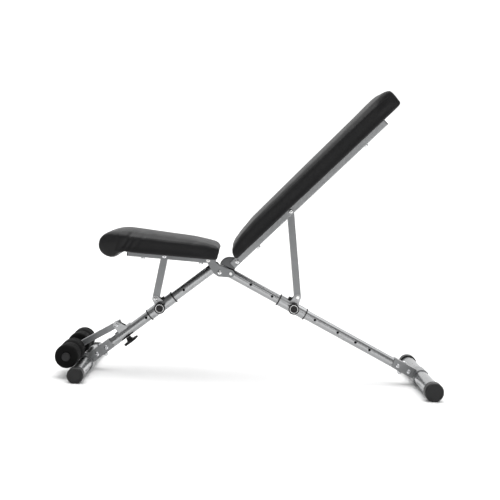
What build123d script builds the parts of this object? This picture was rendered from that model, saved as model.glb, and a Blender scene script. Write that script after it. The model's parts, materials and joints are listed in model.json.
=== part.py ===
from build123d import *
import math
import os

# Folding sit-up bench with an adjustable seat and backrest. All sizes in millimetres and degrees.
# +X runs towards the head end, +Y away from the side with the knobs, +Z up. The origin is on the
# floor, under the middle of the bench. Side shapes are drawn on planes that run along a member.

# ---- driving dimensions ------------------------------------------------------------------------
HUB = (-69.0, 342.0)              # X, Z of the rivet that the two legs fold about
REAR_LEG_ANGLE = -26.0            # slope of the rear leg, from the hub down to the rear foot
FRONT_LEG_ANGLE = 39.4            # slope of the front leg, from the front foot up to the hub
SEAT_ANGLE = -2.25                # slope of the seat rail towards the hub
BACKREST_ANGLE = 46.2             # slope of the backrest rail

REAR_FOOT = (578.5, 29.0)         # X, Z of the rear stabiliser's axis
FRONT_FOOT = (-533.5, 24.0)       # X, Z of the front stabiliser's axis
REAR_STABILISER = (25.0, 252.0)   # radius, half length
FRONT_STABILISER = (22.0, 242.0)
REAR_CAP = (30.0, 29.0)           # radius, half height between the flats
FRONT_CAP = (26.0, 24.0)

TUBE_WALL = 2.0
REAR_TUBE_R = 15.9
FRONT_TUBE_R = 16.1
REAR_TUBE_SPAN = (-14.0, 690.0)   # start and end along the rear leg, from the rivet
FRONT_TUBE_SPAN = (24.0, 540.0)   # start and end along the front leg, from the front foot
LOCK_HOLE_R = 4.4
REAR_HOLES = (76.0, 157.0, 238.0, 319.5, 406.0, 473.5, 526.5)
FRONT_HOLES = (248.0, 305.0, 403.6)

SLEEVE_R = 19.0
SLEEVE_LENGTH = 96.0
SLEEVE_BORE_R = 17.2
BUSH_FLANGE = (20.4, 3.6)         # radius, thickness of the ring outside the sleeve
BUSH_DEPTH = 12.0                 # length of the bush inside the sleeve
BUSH_FIT = 0.1
PIN_OFFSET = 5.0                  # lock pin to clevis pin, along the leg, towards the foot
CLEVIS_GAP = 14.6                 # half gap between the clevis ears
CLEVIS_EAR = 3.0

SEAT_PIVOT = (528.0, 32.0)        # along and above the front leg
SEAT_PROP_PIN = (311.0, 32.0)     # along and above the front leg, level with the seat pivot
BACKREST_PIVOT = (-0.2, 45.5)     # along and above the rear leg, from the rivet
REAR_PROP_PIN = (233.0, 37.8)
BACKREST_CRANK = 243.2            # backrest pivot to the prop's upper bolt, along the rail

RAIL_HALF_WIDTH = 21.0
RAIL_WALL = 1.7
SEAT_RAIL = (-267.0, 25.6, -10.5, 10.5)      # start, end, bottom, top
BACKREST_RAIL = (-20.0, 673.0, -11.0, 14.0)
LINK_HALF_WIDTH = 14.0
LINK_HALF_HEIGHT = 11.5

HUB_PLATE_Y = (16.1, 19.1)        # inner and outer face of the hub plates
HEAD_PLATE_Y = (12.8, 15.7)       # inner and outer face of the D-shaped head plates
HEAD_RIM = 2.4                    # the plastic core stands this far out round the head plates
BOLT_R = 4.0
BOLT_HOLE_R = 4.1

PAD_HALF_WIDTH = 138.0
BOARD_THICKNESS = 12.0
ROLLER = (38.0, 31.5, 40.0, 190.0)   # radius, waist radius, inner end, outer end
AXLE_R = 11.0
ROLLER_AXLE = (1.1, 61.2)         # along and above the front leg
ARM_PIVOT = (154.3, 39.4)
STAR_KNOB_AT = 159.0              # along the front leg

REAR_FOOT_BOLTS = (634.0, 675.0)  # along the rear leg
FRONT_FOOT_BOLTS = (46.0, 84.0)   # along the front leg
REAR_UPRIGHT_BOLT = 652.0         # stands square to the leg between its two foot bolts
FRONT_UPRIGHT_BOLT = 66.0
BRACKET_WEB = 2.0
REAR_BRACKET_START = 616.0
FRONT_BRACKET_START = 106.0
BRACKET_WALL = 3.0
SADDLE_WALL = 3.0
SADDLE_HALF = 34.0
CAP_LENGTH = 32.0
CAP_FACE = 4.0
LEG_PLUG_HEIGHT = 8.0

HEAD_R = 7.5                      # bolt and screw heads
HEAD_HEIGHT = 4.5
HEAD_TAPER = 20.0
SCREW_TAPER = 10.0
NUT = (7.4, 6.0)                  # radius over the corners, height
SCREW_R = 3.0
SCREW_HEAD = (7.5, 6.5)           # radius and height of the pad screws' heads
RAIL_CORNER = 2.5
STUD_R = 4.0
SEAT_LOBE_R = 8.0
EAR_R = 10.5
SEAT_SLOT = (-36.0, 36.0)         # slot under a rail, from the prop bolt
BACKREST_SLOT = (-32.0, 75.0)

HUB_SHOULDER = (546.0, -5.0, 1.5)    # corner of the hub plates under the head, on the front leg
HUB_HEEL = (518.0, -14.0, 1.5)       # corner of the hub plates under the front leg
HEAD_NOSE = (-34.0, 30.5)            # head outline, from the rivet
HEAD_SHOULDER = (-22.0, 46.5)
HEAD_TOP = (-3.0, 51.5)
HEAD_TIP = (18.0, 50.0)
HEAD_HEEL = (10.0, 14.5)
HEAD_LOBE_R = 9.5

BACKREST_SCREWS = (84.0, 577.0)
SEAT_SCREWS = (-218.0, -24.0)
BACKREST_PAD_SPAN = (15.0, 735.0)
BACKREST_PAD_BOTTOM = 14.3
BACKREST_BOARD = (27.0, 690.0)
SEAT_PAD_BOTTOM = 10.8
SEAT_PAD_REAR = 33.0
SEAT_BOARD = (-262.0, 18.0)
SEAT_ROLL = (-313.0, 28.5, 35.5)     # x, y, radius of the roll at the front of the seat pad
BOARD_INSET = 13.0

HOUSING = (9.5, 29.0)             # radius, outer face
KNOB_R = 18.5
KNOB_Y = (29.5, 45.0)             # inner and outer face
PIN_R = 4.0
PIN_TIP = 16.6                    # the pin's tip stands just clear of the leg

ROLLER_BRACKET_SPAN = (132.0, 193.0)
BRACKET_BASE = 4.0
ARM_HALF_WIDTH = 13.0
ARM_HALF_HEIGHT = 9.8
ARM_TAIL = 14.0
STAR_NECK = 11.0
STAR_NECK_R = 9.0
STAR_R = 27.0
STAR_THICKNESS = 10.0
STAR_LOBES = 7


# ---- planes and helpers ------------------------------------------------------------------------
def side_plane(x, z, angle):
    """Plane across the bench: local x climbs at the angle, local y is its upper side."""
    slope = math.radians(angle)
    return Plane(origin=(x, 0, z), x_dir=(math.cos(slope), 0, math.sin(slope)), z_dir=(0, -1, 0))


def along(plane, x, y=0.0):
    """Plane square to a member at a local point, facing along the member."""
    return Plane(origin=plane.from_local_coords((x, y, 0)), x_dir=(0, 1, 0), z_dir=plane.x_dir)


def upright(plane, x, y):
    """Plane at a local point, facing the member's upper side."""
    return Plane(origin=plane.from_local_coords((x, y, 0)), x_dir=(0, 1, 0), z_dir=plane.y_dir)


def disc(plane, x, y, radius, start, end, bore=0.0, mode=Mode.ADD):
    """Round piece across the bench at a local point; distances run towards the knob side."""
    with BuildSketch(plane.offset(start)) as face:
        with Locations((x, y)):
            Circle(radius)
            if bore > 0:
                Circle(bore, mode=Mode.SUBTRACT)
    extrude(face.sketch, amount=end - start, mode=mode)


def slab(plane, outline, start, end, mode=Mode.ADD):
    """Flat piece across the bench with the given local outline."""
    with BuildSketch(plane.offset(start)) as face:
        with BuildLine():
            Polyline(*outline, close=True)
        make_face()
    extrude(face.sketch, amount=end - start, mode=mode)


def pair_of_plates(plane, circles, faces, holes, hole_r=BOLT_HOLE_R):
    """Two plates wrapped round the circles (x, y, radius), the same distance each side."""
    for side in (-1, 1):
        with BuildSketch(plane.offset(side * faces[0])) as face:
            for x, y, radius in circles:
                with Locations((x, y)):
                    Circle(radius)
            make_hull()
            for x, y in holes:
                with Locations((x, y)):
                    Circle(hole_r, mode=Mode.SUBTRACT)
        extrude(face.sketch, amount=side * (faces[1] - faces[0]))


def bolt(plane, x, y, half_grip, head_r=HEAD_R):
    """Pan head bolt across the bench, with its nut on the side away from the knobs."""
    disc(plane, x, y, BOLT_R, half_grip, -half_grip - NUT[1] - 2)
    with BuildSketch(plane.offset(half_grip)) as face:
        with Locations((x, y)):
            Circle(head_r)
    extrude(face.sketch, amount=HEAD_HEIGHT, taper=HEAD_TAPER)
    with BuildSketch(plane.offset(-half_grip)) as face:
        with Locations((x, y)):
            RegularPolygon(NUT[0], 6)
            Circle(BOLT_R + 0.05, mode=Mode.SUBTRACT)
    extrude(face.sketch, amount=-NUT[1])


def screw(plane, radius, length, head_r):
    """Screw that stands on its head: the head below the plane, the shank along its normal."""
    with BuildSketch(plane) as face:
        Circle(radius)
    extrude(face.sketch, amount=length)
    with BuildSketch(plane) as face:
        Circle(head_r)
    extrude(face.sketch, amount=-SCREW_HEAD[1], taper=SCREW_TAPER)


def rounded_box(width, height, wall):
    """Section of a rectangular tube with rounded corners."""
    RectangleRounded(width, height, RAIL_CORNER)
    RectangleRounded(width - 2 * wall, height - 2 * wall, RAIL_CORNER - wall, mode=Mode.SUBTRACT)


def upright_bolt(plane, x, leg_r):
    """Bolt that stands through a leg: its head on the bracket's web, its nut under the tube."""
    top = leg_r + BRACKET_WEB + 0.05
    with BuildSketch(upright(plane, x, -leg_r - NUT[1] - 2)) as face:
        Circle(BOLT_R)
    extrude(face.sketch, amount=top + leg_r + NUT[1] + 2)
    with BuildSketch(upright(plane, x, top)) as face:
        Circle(HEAD_R)
    extrude(face.sketch, amount=HEAD_HEIGHT, taper=HEAD_TAPER)
    with BuildSketch(upright(plane, x, -leg_r - 0.05)) as face:
        RegularPolygon(NUT[0], 6)
        Circle(BOLT_R + 0.05, mode=Mode.SUBTRACT)
    extrude(face.sketch, amount=-NUT[1])


def upright_hole(plane, x, start, end):
    """Clearance hole for a bolt that stands square to a leg."""
    with BuildSketch(upright(plane, x, start)) as face:
        Circle(BOLT_HOLE_R)
    extrude(face.sketch, amount=end - start, mode=Mode.SUBTRACT)


def round_tube(plane, radius, wall, length):
    """Round tube from the plane along its normal."""
    with BuildSketch(plane) as face:
        Circle(radius)
        Circle(radius - wall, mode=Mode.SUBTRACT)
    extrude(face.sketch, amount=length)


rear_leg = side_plane(*HUB, REAR_LEG_ANGLE)
front_leg = side_plane(*FRONT_FOOT, FRONT_LEG_ANGLE)
seat_at = front_leg.from_local_coords((*SEAT_PIVOT, 0))
seat_line = side_plane(seat_at.X, seat_at.Z, SEAT_ANGLE)
back_at = rear_leg.from_local_coords((*BACKREST_PIVOT, 0))
back_line = side_plane(back_at.X, back_at.Z, BACKREST_ANGLE)
rear_foot = side_plane(*REAR_FOOT, 0)
front_foot = side_plane(*FRONT_FOOT, 0)

# The seat rail, its prop and the front leg stand as an isosceles triangle, so that the prop turns
# back at twice the seat's rate and the sleeve runs exactly along the leg.
prop_reach = (SEAT_PIVOT[0] - SEAT_PROP_PIN[0]) / 2
seat_crank = prop_reach / math.cos(math.radians(FRONT_LEG_ANGLE - SEAT_ANGLE))
seat_bolt = (-seat_crank, 0.0)
hub_on_front = front_leg.to_local_coords(Vector(HUB[0], 0, HUB[1]))
rear_foot_on_leg = rear_leg.to_local_coords(Vector(REAR_FOOT[0], 0, REAR_FOOT[1]))


# ---- leg tubes ---------------------------------------------------------------------------------
def leg_tube(plane, radius, span, holes, bolt_spots, stabiliser_at, stabiliser_r):
    """Round leg with lock holes on the knob side, its lower end cut to sit on the stabiliser."""
    round_tube(along(plane, span[0]), radius, TUBE_WALL, span[1] - span[0])
    for spot in holes:
        disc(plane, spot, 0, LOCK_HOLE_R, 0, radius + 5, mode=Mode.SUBTRACT)
    for spot in bolt_spots:
        disc(plane, spot, 0, BOLT_HOLE_R, -radius - 5, radius + 5, mode=Mode.SUBTRACT)
    disc(plane, *stabiliser_at, stabiliser_r + 0.1, -60, 60, mode=Mode.SUBTRACT)


with BuildPart() as rear_leg_tube:
    leg_tube(rear_leg, REAR_TUBE_R, REAR_TUBE_SPAN, REAR_HOLES, (0.0, *REAR_FOOT_BOLTS),
             (rear_foot_on_leg.X, rear_foot_on_leg.Y), REAR_STABILISER[0])
    upright_hole(rear_leg, REAR_UPRIGHT_BOLT, -REAR_TUBE_R - 5, REAR_TUBE_R + 5)
rear_leg_tube.part.label = "rear_leg_tube"

with BuildPart() as front_leg_tube:
    leg_tube(front_leg, FRONT_TUBE_R, FRONT_TUBE_SPAN, FRONT_HOLES, FRONT_FOOT_BOLTS,
             (0.0, 0.0), FRONT_STABILISER[0])
    upright_hole(front_leg, FRONT_UPRIGHT_BOLT, -FRONT_TUBE_R - 5, FRONT_TUBE_R + 5)
    with BuildSketch(upright(front_leg, STAR_KNOB_AT, -FRONT_TUBE_R - 5)) as stud_hole:
        Circle(STUD_R + 0.3)
    extrude(amount=2 * FRONT_TUBE_R + 10, mode=Mode.SUBTRACT)
front_leg_tube.part.label = "front_leg_tube"

with BuildPart() as front_leg_plug:
    plug_end = along(front_leg, FRONT_TUBE_SPAN[1])
    with BuildSketch(plug_end):
        Circle(FRONT_TUBE_R - TUBE_WALL - 0.05)
    extrude(amount=-14)
    with BuildSketch(plug_end):
        Circle(FRONT_TUBE_R - 1.6)
    extrude(amount=LEG_PLUG_HEIGHT, taper=40)
front_leg_plug.part.label = "front_leg_plug"


# ---- stabilisers, their caps and the foot brackets ----------------------------------------------
def stabiliser(plane, size):
    """Cross tube that the bench stands on; its caps are pushed over its ends."""
    end = size[1] - CAP_FACE
    disc(plane, 0, 0, size[0], -end, end, bore=size[0] - TUBE_WALL)


def stabiliser_caps(plane, size, cap):
    """Ribbed end caps with a flat top and bottom, one over each end of the stabiliser."""
    for side in (-1, 1):
        outer = side * size[1]
        with BuildSketch(plane.offset(outer)) as face:
            Circle(cap[0])
            Rectangle(2 * cap[0] + 2, 2 * cap[1], mode=Mode.INTERSECT)
        extrude(face.sketch, amount=-side * CAP_LENGTH)
        disc(plane, 0, 0, size[0] + 0.05, outer - side * CAP_FACE, outer - side * (CAP_LENGTH + 1),
             mode=Mode.SUBTRACT)


def foot_bracket(plane, leg_r, foot_xy, foot_r, start, end, bolt_spots, lower_edge):
    """Channel that holds the leg and a half saddle that wraps the stabiliser, welded as one."""
    x, y = foot_xy
    web_top = leg_r + BRACKET_WEB
    for side in (-1, 1):
        inner = side * (leg_r + 0.05)
        outline = [(start, web_top), (end, web_top), (end, y), (end, lower_edge), (start, lower_edge)]
        slab(plane, outline, inner, inner + side * BRACKET_WALL)
    slab(plane, [(start, leg_r + 0.1), (end, leg_r + 0.1), (end, web_top), (start, web_top)],
         -leg_r - 0.1, leg_r + 0.1)
    disc(plane, x, y, foot_r + SADDLE_WALL, -SADDLE_HALF, SADDLE_HALF)
    for spot in bolt_spots:
        disc(plane, spot, 0, BOLT_HOLE_R, -40, 40, mode=Mode.SUBTRACT)
    disc(plane, x, y, foot_r + 0.05, -60, 60, mode=Mode.SUBTRACT)
    away = 1 if x > start else -1
    slab(plane, [(x + away * 12, -60), (x + away * 60, -60), (x + away * 60, 60), (x + away * 12, 60)],
         -60, 60, mode=Mode.SUBTRACT)
    with BuildSketch(along(plane, min(start, x) - 40)) as bore:
        Circle(leg_r + 0.05)
    extrude(bore.sketch, amount=abs(x - start) + 60, mode=Mode.SUBTRACT)


with BuildPart() as rear_stabiliser:
    stabiliser(rear_foot, REAR_STABILISER)
rear_stabiliser.part.label = "rear_stabiliser"

with BuildPart() as rear_stabiliser_caps:
    stabiliser_caps(rear_foot, REAR_STABILISER, REAR_CAP)
rear_stabiliser_caps.part.label = "rear_stabiliser_caps"

with BuildPart() as rear_foot_bracket:
    foot_bracket(rear_leg, REAR_TUBE_R, (rear_foot_on_leg.X, rear_foot_on_leg.Y), REAR_STABILISER[0],
                 REAR_BRACKET_START, rear_foot_on_leg.X, REAR_FOOT_BOLTS, -14.0)
    upright_hole(rear_leg, REAR_UPRIGHT_BOLT, 0, REAR_TUBE_R + 10)
rear_foot_bracket.part.label = "rear_foot_bracket"

with BuildPart() as rear_foot_bolts:
    for spot in REAR_FOOT_BOLTS:
        bolt(rear_leg, spot, 0, REAR_TUBE_R + BRACKET_WALL + 0.1)
    upright_bolt(rear_leg, REAR_UPRIGHT_BOLT, REAR_TUBE_R)
rear_foot_bolts.part.label = "rear_foot_bolts"

with BuildPart() as front_stabiliser:
    stabiliser(front_foot, FRONT_STABILISER)
front_stabiliser.part.label = "front_stabiliser"

with BuildPart() as front_stabiliser_caps:
    stabiliser_caps(front_foot, FRONT_STABILISER, FRONT_CAP)
front_stabiliser_caps.part.label = "front_stabiliser_caps"

with BuildPart() as front_foot_bracket:
    foot_bracket(front_leg, FRONT_TUBE_R, (0.0, 0.0), FRONT_STABILISER[0],
                 FRONT_BRACKET_START, 0.0, FRONT_FOOT_BOLTS, -14.0)
    upright_hole(front_leg, FRONT_UPRIGHT_BOLT, 0, FRONT_TUBE_R + 10)
front_foot_bracket.part.label = "front_foot_bracket"

with BuildPart() as front_foot_bolts:
    for spot in FRONT_FOOT_BOLTS:
        bolt(front_leg, spot, 0, FRONT_TUBE_R + BRACKET_WALL + 0.1)
    upright_bolt(front_leg, FRONT_UPRIGHT_BOLT, FRONT_TUBE_R)
front_foot_bolts.part.label = "front_foot_bolts"

# ---- hub: plates on the front leg, head on the rear leg ------------------------------------------
hub_bolt_at = (hub_on_front.X - 27.0, hub_on_front.Y + 25.2)

with BuildPart() as hub_plates:
    for lower, upper in ((hub_on_front, hub_bolt_at), (hub_bolt_at, SEAT_PIVOT)):
        tips = [(*tuple(lower)[:2], 12.5 if lower is hub_on_front else 14.0),
                (*upper, 14.0 if upper is hub_bolt_at else SEAT_LOBE_R)]
        if upper is hub_bolt_at:
            tips.append(HUB_SHOULDER)
        else:
            tips.extend([HUB_SHOULDER, HUB_HEEL])
        pair_of_plates(front_leg, tips, HUB_PLATE_Y, ())
    for x, y in ((hub_on_front.X, hub_on_front.Y), hub_bolt_at, SEAT_PIVOT):
        disc(front_leg, x, y, BOLT_HOLE_R, -40, 40, mode=Mode.SUBTRACT)
hub_plates.part.label = "hub_plates"

with BuildPart() as hub_bolt:
    bolt(front_leg, *hub_bolt_at, HUB_PLATE_Y[1] + 0.05, head_r=9.0)
hub_bolt.part.label = "hub_bolt"

with BuildPart() as hub_spacer:
    disc(front_leg, *hub_bolt_at, 7.5, -HUB_PLATE_Y[0] + 0.05, HUB_PLATE_Y[0] - 0.05, bore=BOLT_HOLE_R)
hub_spacer.part.label = "hub_spacer"

with BuildPart() as fold_rivet:
    disc(rear_leg, 0, 0, BOLT_R, -HUB_PLATE_Y[1] - 0.5, HUB_PLATE_Y[1] + 0.5)
    for side in (-1, 1):
        with BuildSketch(rear_leg.offset(side * (HUB_PLATE_Y[1] + 0.05))):
            Circle(6.5)
        extrude(amount=side * 2.5, taper=30)
fold_rivet.part.label = "fold_rivet"

with BuildPart() as seat_pivot_bolt:
    bolt(front_leg, *SEAT_PIVOT, RAIL_HALF_WIDTH + 0.1)
seat_pivot_bolt.part.label = "seat_pivot_bolt"


head_plane = side_plane(*HUB, 0)
backrest_pivot_at = (back_at.X - HUB[0], back_at.Z - HUB[1])


def head_outline(plane, grow):
    """D-shaped outline of the rear head, its flat side down on the hub plates."""
    with BuildSketch(plane) as outline:
        with BuildLine():
            Line(HEAD_HEEL, HEAD_NOSE)
            ThreePointArc(HEAD_NOSE, HEAD_SHOULDER, HEAD_TOP)
            Line(HEAD_TOP, HEAD_TIP)
            Line(HEAD_TIP, HEAD_HEEL)
        make_face()
        with Locations(backrest_pivot_at):
            Circle(HEAD_LOBE_R)
        offset(amount=grow, kind=Kind.ARC)
    return outline.sketch


def clear_rear_tube():
    """Cut the open part to sit on the round rear leg."""
    with BuildSketch(along(rear_leg, REAR_TUBE_SPAN[0] - 1)) as tube:
        Circle(REAR_TUBE_R + 0.03)
    extrude(tube.sketch, amount=120, mode=Mode.SUBTRACT)


with BuildPart() as head_plates:
    for side in (-1, 1):
        face = head_outline(head_plane.offset(side * HEAD_PLATE_Y[0]), 0)
        extrude(face, amount=side * (HEAD_PLATE_Y[1] - HEAD_PLATE_Y[0]))
    disc(head_plane, *backrest_pivot_at, BOLT_HOLE_R, -40, 40, mode=Mode.SUBTRACT)
    clear_rear_tube()
head_plates.part.label = "head_plates"

with BuildPart() as head_core:
    face = head_outline(head_plane.offset(-HEAD_PLATE_Y[0] + 0.05), HEAD_RIM)
    extrude(face, amount=2 * HEAD_PLATE_Y[0] - 0.1)
    disc(head_plane, *backrest_pivot_at, BOLT_HOLE_R, -40, 40, mode=Mode.SUBTRACT)
    clear_rear_tube()
head_core.part.label = "head_core"

with BuildPart() as backrest_pivot_bolt:
    bolt(back_line, 0, 0, RAIL_HALF_WIDTH + 0.1, head_r=9.0)
backrest_pivot_bolt.part.label = "backrest_pivot_bolt"

with BuildPart() as backrest_pivot_spacers:
    for side in (-1, 1):
        disc(back_line, 0, 0, 8.5, side * (HEAD_PLATE_Y[1] + 0.05),
             side * (RAIL_HALF_WIDTH - RAIL_WALL - 0.1), bore=BOLT_HOLE_R)
backrest_pivot_spacers.part.label = "backrest_pivot_spacers"


# ---- rails, boards and pads --------------------------------------------------------------------
def rail(plane, size, prop_x, slot, open_lower, open_upper):
    """Rectangular rail; its hub end is a fork and its underside is slotted for the prop."""
    start, end, bottom, top = size
    middle = (bottom + top) / 2
    with BuildSketch(along(plane, start, middle)) as section:
        rounded_box(2 * RAIL_HALF_WIDTH, top - bottom, RAIL_WALL)
    extrude(section.sketch, amount=end - start)
    inside = RAIL_HALF_WIDTH - RAIL_WALL
    for x1, x2, y in ((open_lower[0], open_lower[1], bottom), (open_upper[0], open_upper[1], top),
                      (prop_x + slot[0], prop_x + slot[1], bottom)):
        slab(plane, [(x1, y - 2.5), (x2, y - 2.5), (x2, y + 2.5), (x1, y + 2.5)], -inside, inside,
             mode=Mode.SUBTRACT)
    for x in (0.0, prop_x):
        disc(plane, x, 0, BOLT_HOLE_R, -40, 40, mode=Mode.SUBTRACT)


def screw_holes(plane, spots, bottom, top):
    """Holes up through a rail for the pad screws."""
    for x in spots:
        with BuildSketch(upright(plane, x, bottom - 5)) as hole:
            Circle(SCREW_R + 0.2)
        extrude(hole.sketch, amount=top - bottom + 10, mode=Mode.SUBTRACT)


def pad_screws(plane, spots, bottom, length):
    """Long screws up through the rail into the board."""
    for x in spots:
        screw(upright(plane, x, bottom - 0.05), SCREW_R, length, SCREW_HEAD[0])


def board(plane, start, end, bottom, spots):
    """Plywood board in the underside of a pad, with rounded corners and blind screw holes."""
    with BuildSketch(upright(plane, (start + end) / 2, bottom)) as face:
        RectangleRounded(2 * (PAD_HALF_WIDTH - BOARD_INSET), end - start, 30)
    extrude(face.sketch, amount=BOARD_THICKNESS)
    for x in spots:
        with BuildSketch(upright(plane, x, bottom)) as hole:
            Circle(SCREW_R + 0.05)
        extrude(hole.sketch, amount=BOARD_THICKNESS - 1, mode=Mode.SUBTRACT)


def board_pocket(plane, start, end, bottom):
    """Recess that holds the board, cut into the open pad."""
    with BuildSketch(upright(plane, (start + end) / 2, bottom - 20)) as face:
        RectangleRounded(2 * (PAD_HALF_WIDTH - BOARD_INSET) + 0.1, end - start + 0.1, 30)
    extrude(face.sketch, amount=BOARD_THICKNESS + 20.05, mode=Mode.SUBTRACT)


with BuildPart() as backrest_rail:
    rail(back_line, BACKREST_RAIL, BACKREST_CRANK, BACKREST_SLOT, (-25, 26), (-25, 12))
    screw_holes(back_line, BACKREST_SCREWS, BACKREST_RAIL[2], BACKREST_RAIL[3])
backrest_rail.part.label = "backrest_rail"

with BuildPart() as seat_rail:
    rail(seat_line, SEAT_RAIL, -seat_crank, SEAT_SLOT, (-30, 30), (27, 30))
    screw_holes(seat_line, SEAT_SCREWS, SEAT_RAIL[2], SEAT_RAIL[3])
seat_rail.part.label = "seat_rail"


def rail_plug(plane, size, at, outward):
    """Plastic plug in the free end of a rail."""
    start, end, bottom, top = size
    middle = (bottom + top) / 2
    with BuildSketch(along(plane, at, middle)) as face:
        RectangleRounded(2 * RAIL_HALF_WIDTH, top - bottom, 2)
    extrude(face.sketch, amount=outward * 3)
    with BuildSketch(along(plane, at, middle)) as face:
        RectangleRounded(2 * (RAIL_HALF_WIDTH - RAIL_WALL) - 0.1, top - bottom - 2 * RAIL_WALL - 0.1, 1)
    extrude(face.sketch, amount=-outward * 12)


with BuildPart() as backrest_rail_plug:
    rail_plug(back_line, BACKREST_RAIL, BACKREST_RAIL[1], 1)
backrest_rail_plug.part.label = "backrest_rail_plug"

with BuildPart() as seat_rail_plug:
    rail_plug(seat_line, SEAT_RAIL, SEAT_RAIL[0], -1)
seat_rail_plug.part.label = "seat_rail_plug"

with BuildPart() as backrest_board:
    board(back_line, *BACKREST_BOARD, BACKREST_PAD_BOTTOM, BACKREST_SCREWS)
backrest_board.part.label = "backrest_board"

with BuildPart() as seat_board:
    board(seat_line, *SEAT_BOARD, SEAT_PAD_BOTTOM, SEAT_SCREWS)
seat_board.part.label = "seat_board"

with BuildPart() as backrest_screws:
    pad_screws(back_line, BACKREST_SCREWS, BACKREST_RAIL[2], 34)
backrest_screws.part.label = "backrest_screws"

with BuildPart() as seat_screws:
    pad_screws(seat_line, SEAT_SCREWS, SEAT_RAIL[2], 30)
seat_screws.part.label = "seat_screws"

with BuildPart() as backrest_pad:
    bottom = BACKREST_PAD_BOTTOM
    with BuildSketch(back_line.offset(-PAD_HALF_WIDTH)):
        with BuildLine():
            low, high = BACKREST_PAD_SPAN
            Polyline((high - 32, bottom), (low, bottom), (low, bottom + 29), (low + 22, bottom + 47),
                     (low + 102, bottom + 60), (high - 130, bottom + 65), (high - 55, bottom + 64),
                     (high, bottom + 53), (high, bottom + 6), (high - 32, bottom))
        make_face()
    extrude(amount=2 * PAD_HALF_WIDTH)
    board_pocket(back_line, *BACKREST_BOARD, bottom)
backrest_pad.part.label = "backrest_pad"

with BuildPart() as seat_pad:
    bottom = SEAT_PAD_BOTTOM
    roll_x, roll_y, roll_r = SEAT_ROLL
    with BuildSketch(seat_line.offset(-PAD_HALF_WIDTH)):
        with BuildLine():
            rear = SEAT_PAD_REAR
            Polyline((roll_x, bottom), (rear - 5, bottom), (rear + 6, bottom + 36), (rear - 20, bottom + 48),
                     (rear - 80, bottom + 59), (roll_x + 60, bottom + 63), (roll_x, bottom + 52),
                     (roll_x, bottom))
        make_face()
        with Locations((roll_x, roll_y)):
            Circle(roll_r)
    extrude(amount=2 * PAD_HALF_WIDTH)
    board_pocket(seat_line, *SEAT_BOARD, bottom)
seat_pad.part.label = "seat_pad"


# ---- props: links, sleeves, knobs ----------------------------------------------------------------
def link(start, end, top_lobe):
    """Prop of rectangular tube with rounded ends; start and end are its bolt points in X and Z."""
    run = math.degrees(math.atan2(end[1] - start[1], end[0] - start[0]))
    length = math.dist(start, end)
    plane = side_plane(*start, run)
    for lobe, x in ((top_lobe, 0.0), (LINK_HALF_HEIGHT, length)):
        inward = 16.0 if x == 0 else -16.0
        with BuildSketch(plane.offset(-LINK_HALF_WIDTH)) as face:
            with Locations((x, 0)):
                Circle(lobe)
            with Locations((x + inward, 0)):
                Rectangle(2, 2 * LINK_HALF_HEIGHT)
            make_hull()
        extrude(face.sketch, amount=2 * LINK_HALF_WIDTH)
    with BuildSketch(along(plane, 16)) as face:
        Rectangle(2 * LINK_HALF_WIDTH, 2 * LINK_HALF_HEIGHT)
    extrude(face.sketch, amount=length - 32)
    with BuildSketch(along(plane, -30)) as face:
        Rectangle(2 * (LINK_HALF_WIDTH - RAIL_WALL), 2 * (LINK_HALF_HEIGHT - RAIL_WALL))
    extrude(face.sketch, amount=length + 60, mode=Mode.SUBTRACT)
    for x in (0.0, length):
        disc(plane, x, 0, BOLT_HOLE_R, -40, 40, mode=Mode.SUBTRACT)


def world(plane, spot):
    """X and Z of a local point of a side plane."""
    point = plane.from_local_coords((*spot, 0))
    return (point.X, point.Z)


def link_bolt(plane, spot):
    """Bolt that holds a prop inside a rail, with a spacer each side of the prop."""
    bolt(plane, *spot, RAIL_HALF_WIDTH + 0.1)
    for side in (-1, 1):
        disc(plane, *spot, 7.0, side * (LINK_HALF_WIDTH + 0.1), side * (RAIL_HALF_WIDTH - RAIL_WALL - 0.1),
             bore=BOLT_R + 0.05)


def sleeve(plane, pin, lock_hole):
    """Sliding sleeve with two clevis ears welded on top."""
    start = pin[0] - SLEEVE_LENGTH / 2
    round_tube(along(plane, start), SLEEVE_R, SLEEVE_R - SLEEVE_BORE_R, SLEEVE_LENGTH)
    pair_of_plates(plane, [(*pin, EAR_R), (pin[0] - 14, 13.5, 1.5), (pin[0] + 14, 13.5, 1.5)],
                   (CLEVIS_GAP, CLEVIS_GAP + CLEVIS_EAR), [pin])
    disc(plane, lock_hole, 0, LOCK_HOLE_R, 0, 30, mode=Mode.SUBTRACT)


def bushes(plane, pin, tube_r):
    """Flanged plastic bush in each end of a sleeve."""
    for side in (-1, 1):
        face = along(plane, pin[0] + side * SLEEVE_LENGTH / 2)
        with BuildSketch(face) as flange:
            Circle(BUSH_FLANGE[0])
            Circle(tube_r + BUSH_FIT, mode=Mode.SUBTRACT)
        extrude(flange.sketch, amount=side * BUSH_FLANGE[1])
        with BuildSketch(face) as liner:
            Circle(SLEEVE_BORE_R - 0.02)
            Circle(tube_r + BUSH_FIT, mode=Mode.SUBTRACT)
        extrude(liner.sketch, amount=-side * BUSH_DEPTH)


def bumper(plane, pin, toward_hub, height):
    """Rubber block on the sleeve between the clevis ears, where the prop comes to rest."""
    x = pin[0] + toward_hub * 18
    base = SLEEVE_R - 3.5
    slab(plane, [(x - 6, base), (x + 6, base), (x + 6, SLEEVE_R + height), (x - 6, SLEEVE_R + height)],
         -CLEVIS_GAP + 2, CLEVIS_GAP - 2)
    with BuildSketch(along(plane, x - 20)) as cut:
        Circle(SLEEVE_R + 0.05)
    extrude(cut.sketch, amount=40, mode=Mode.SUBTRACT)


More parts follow.
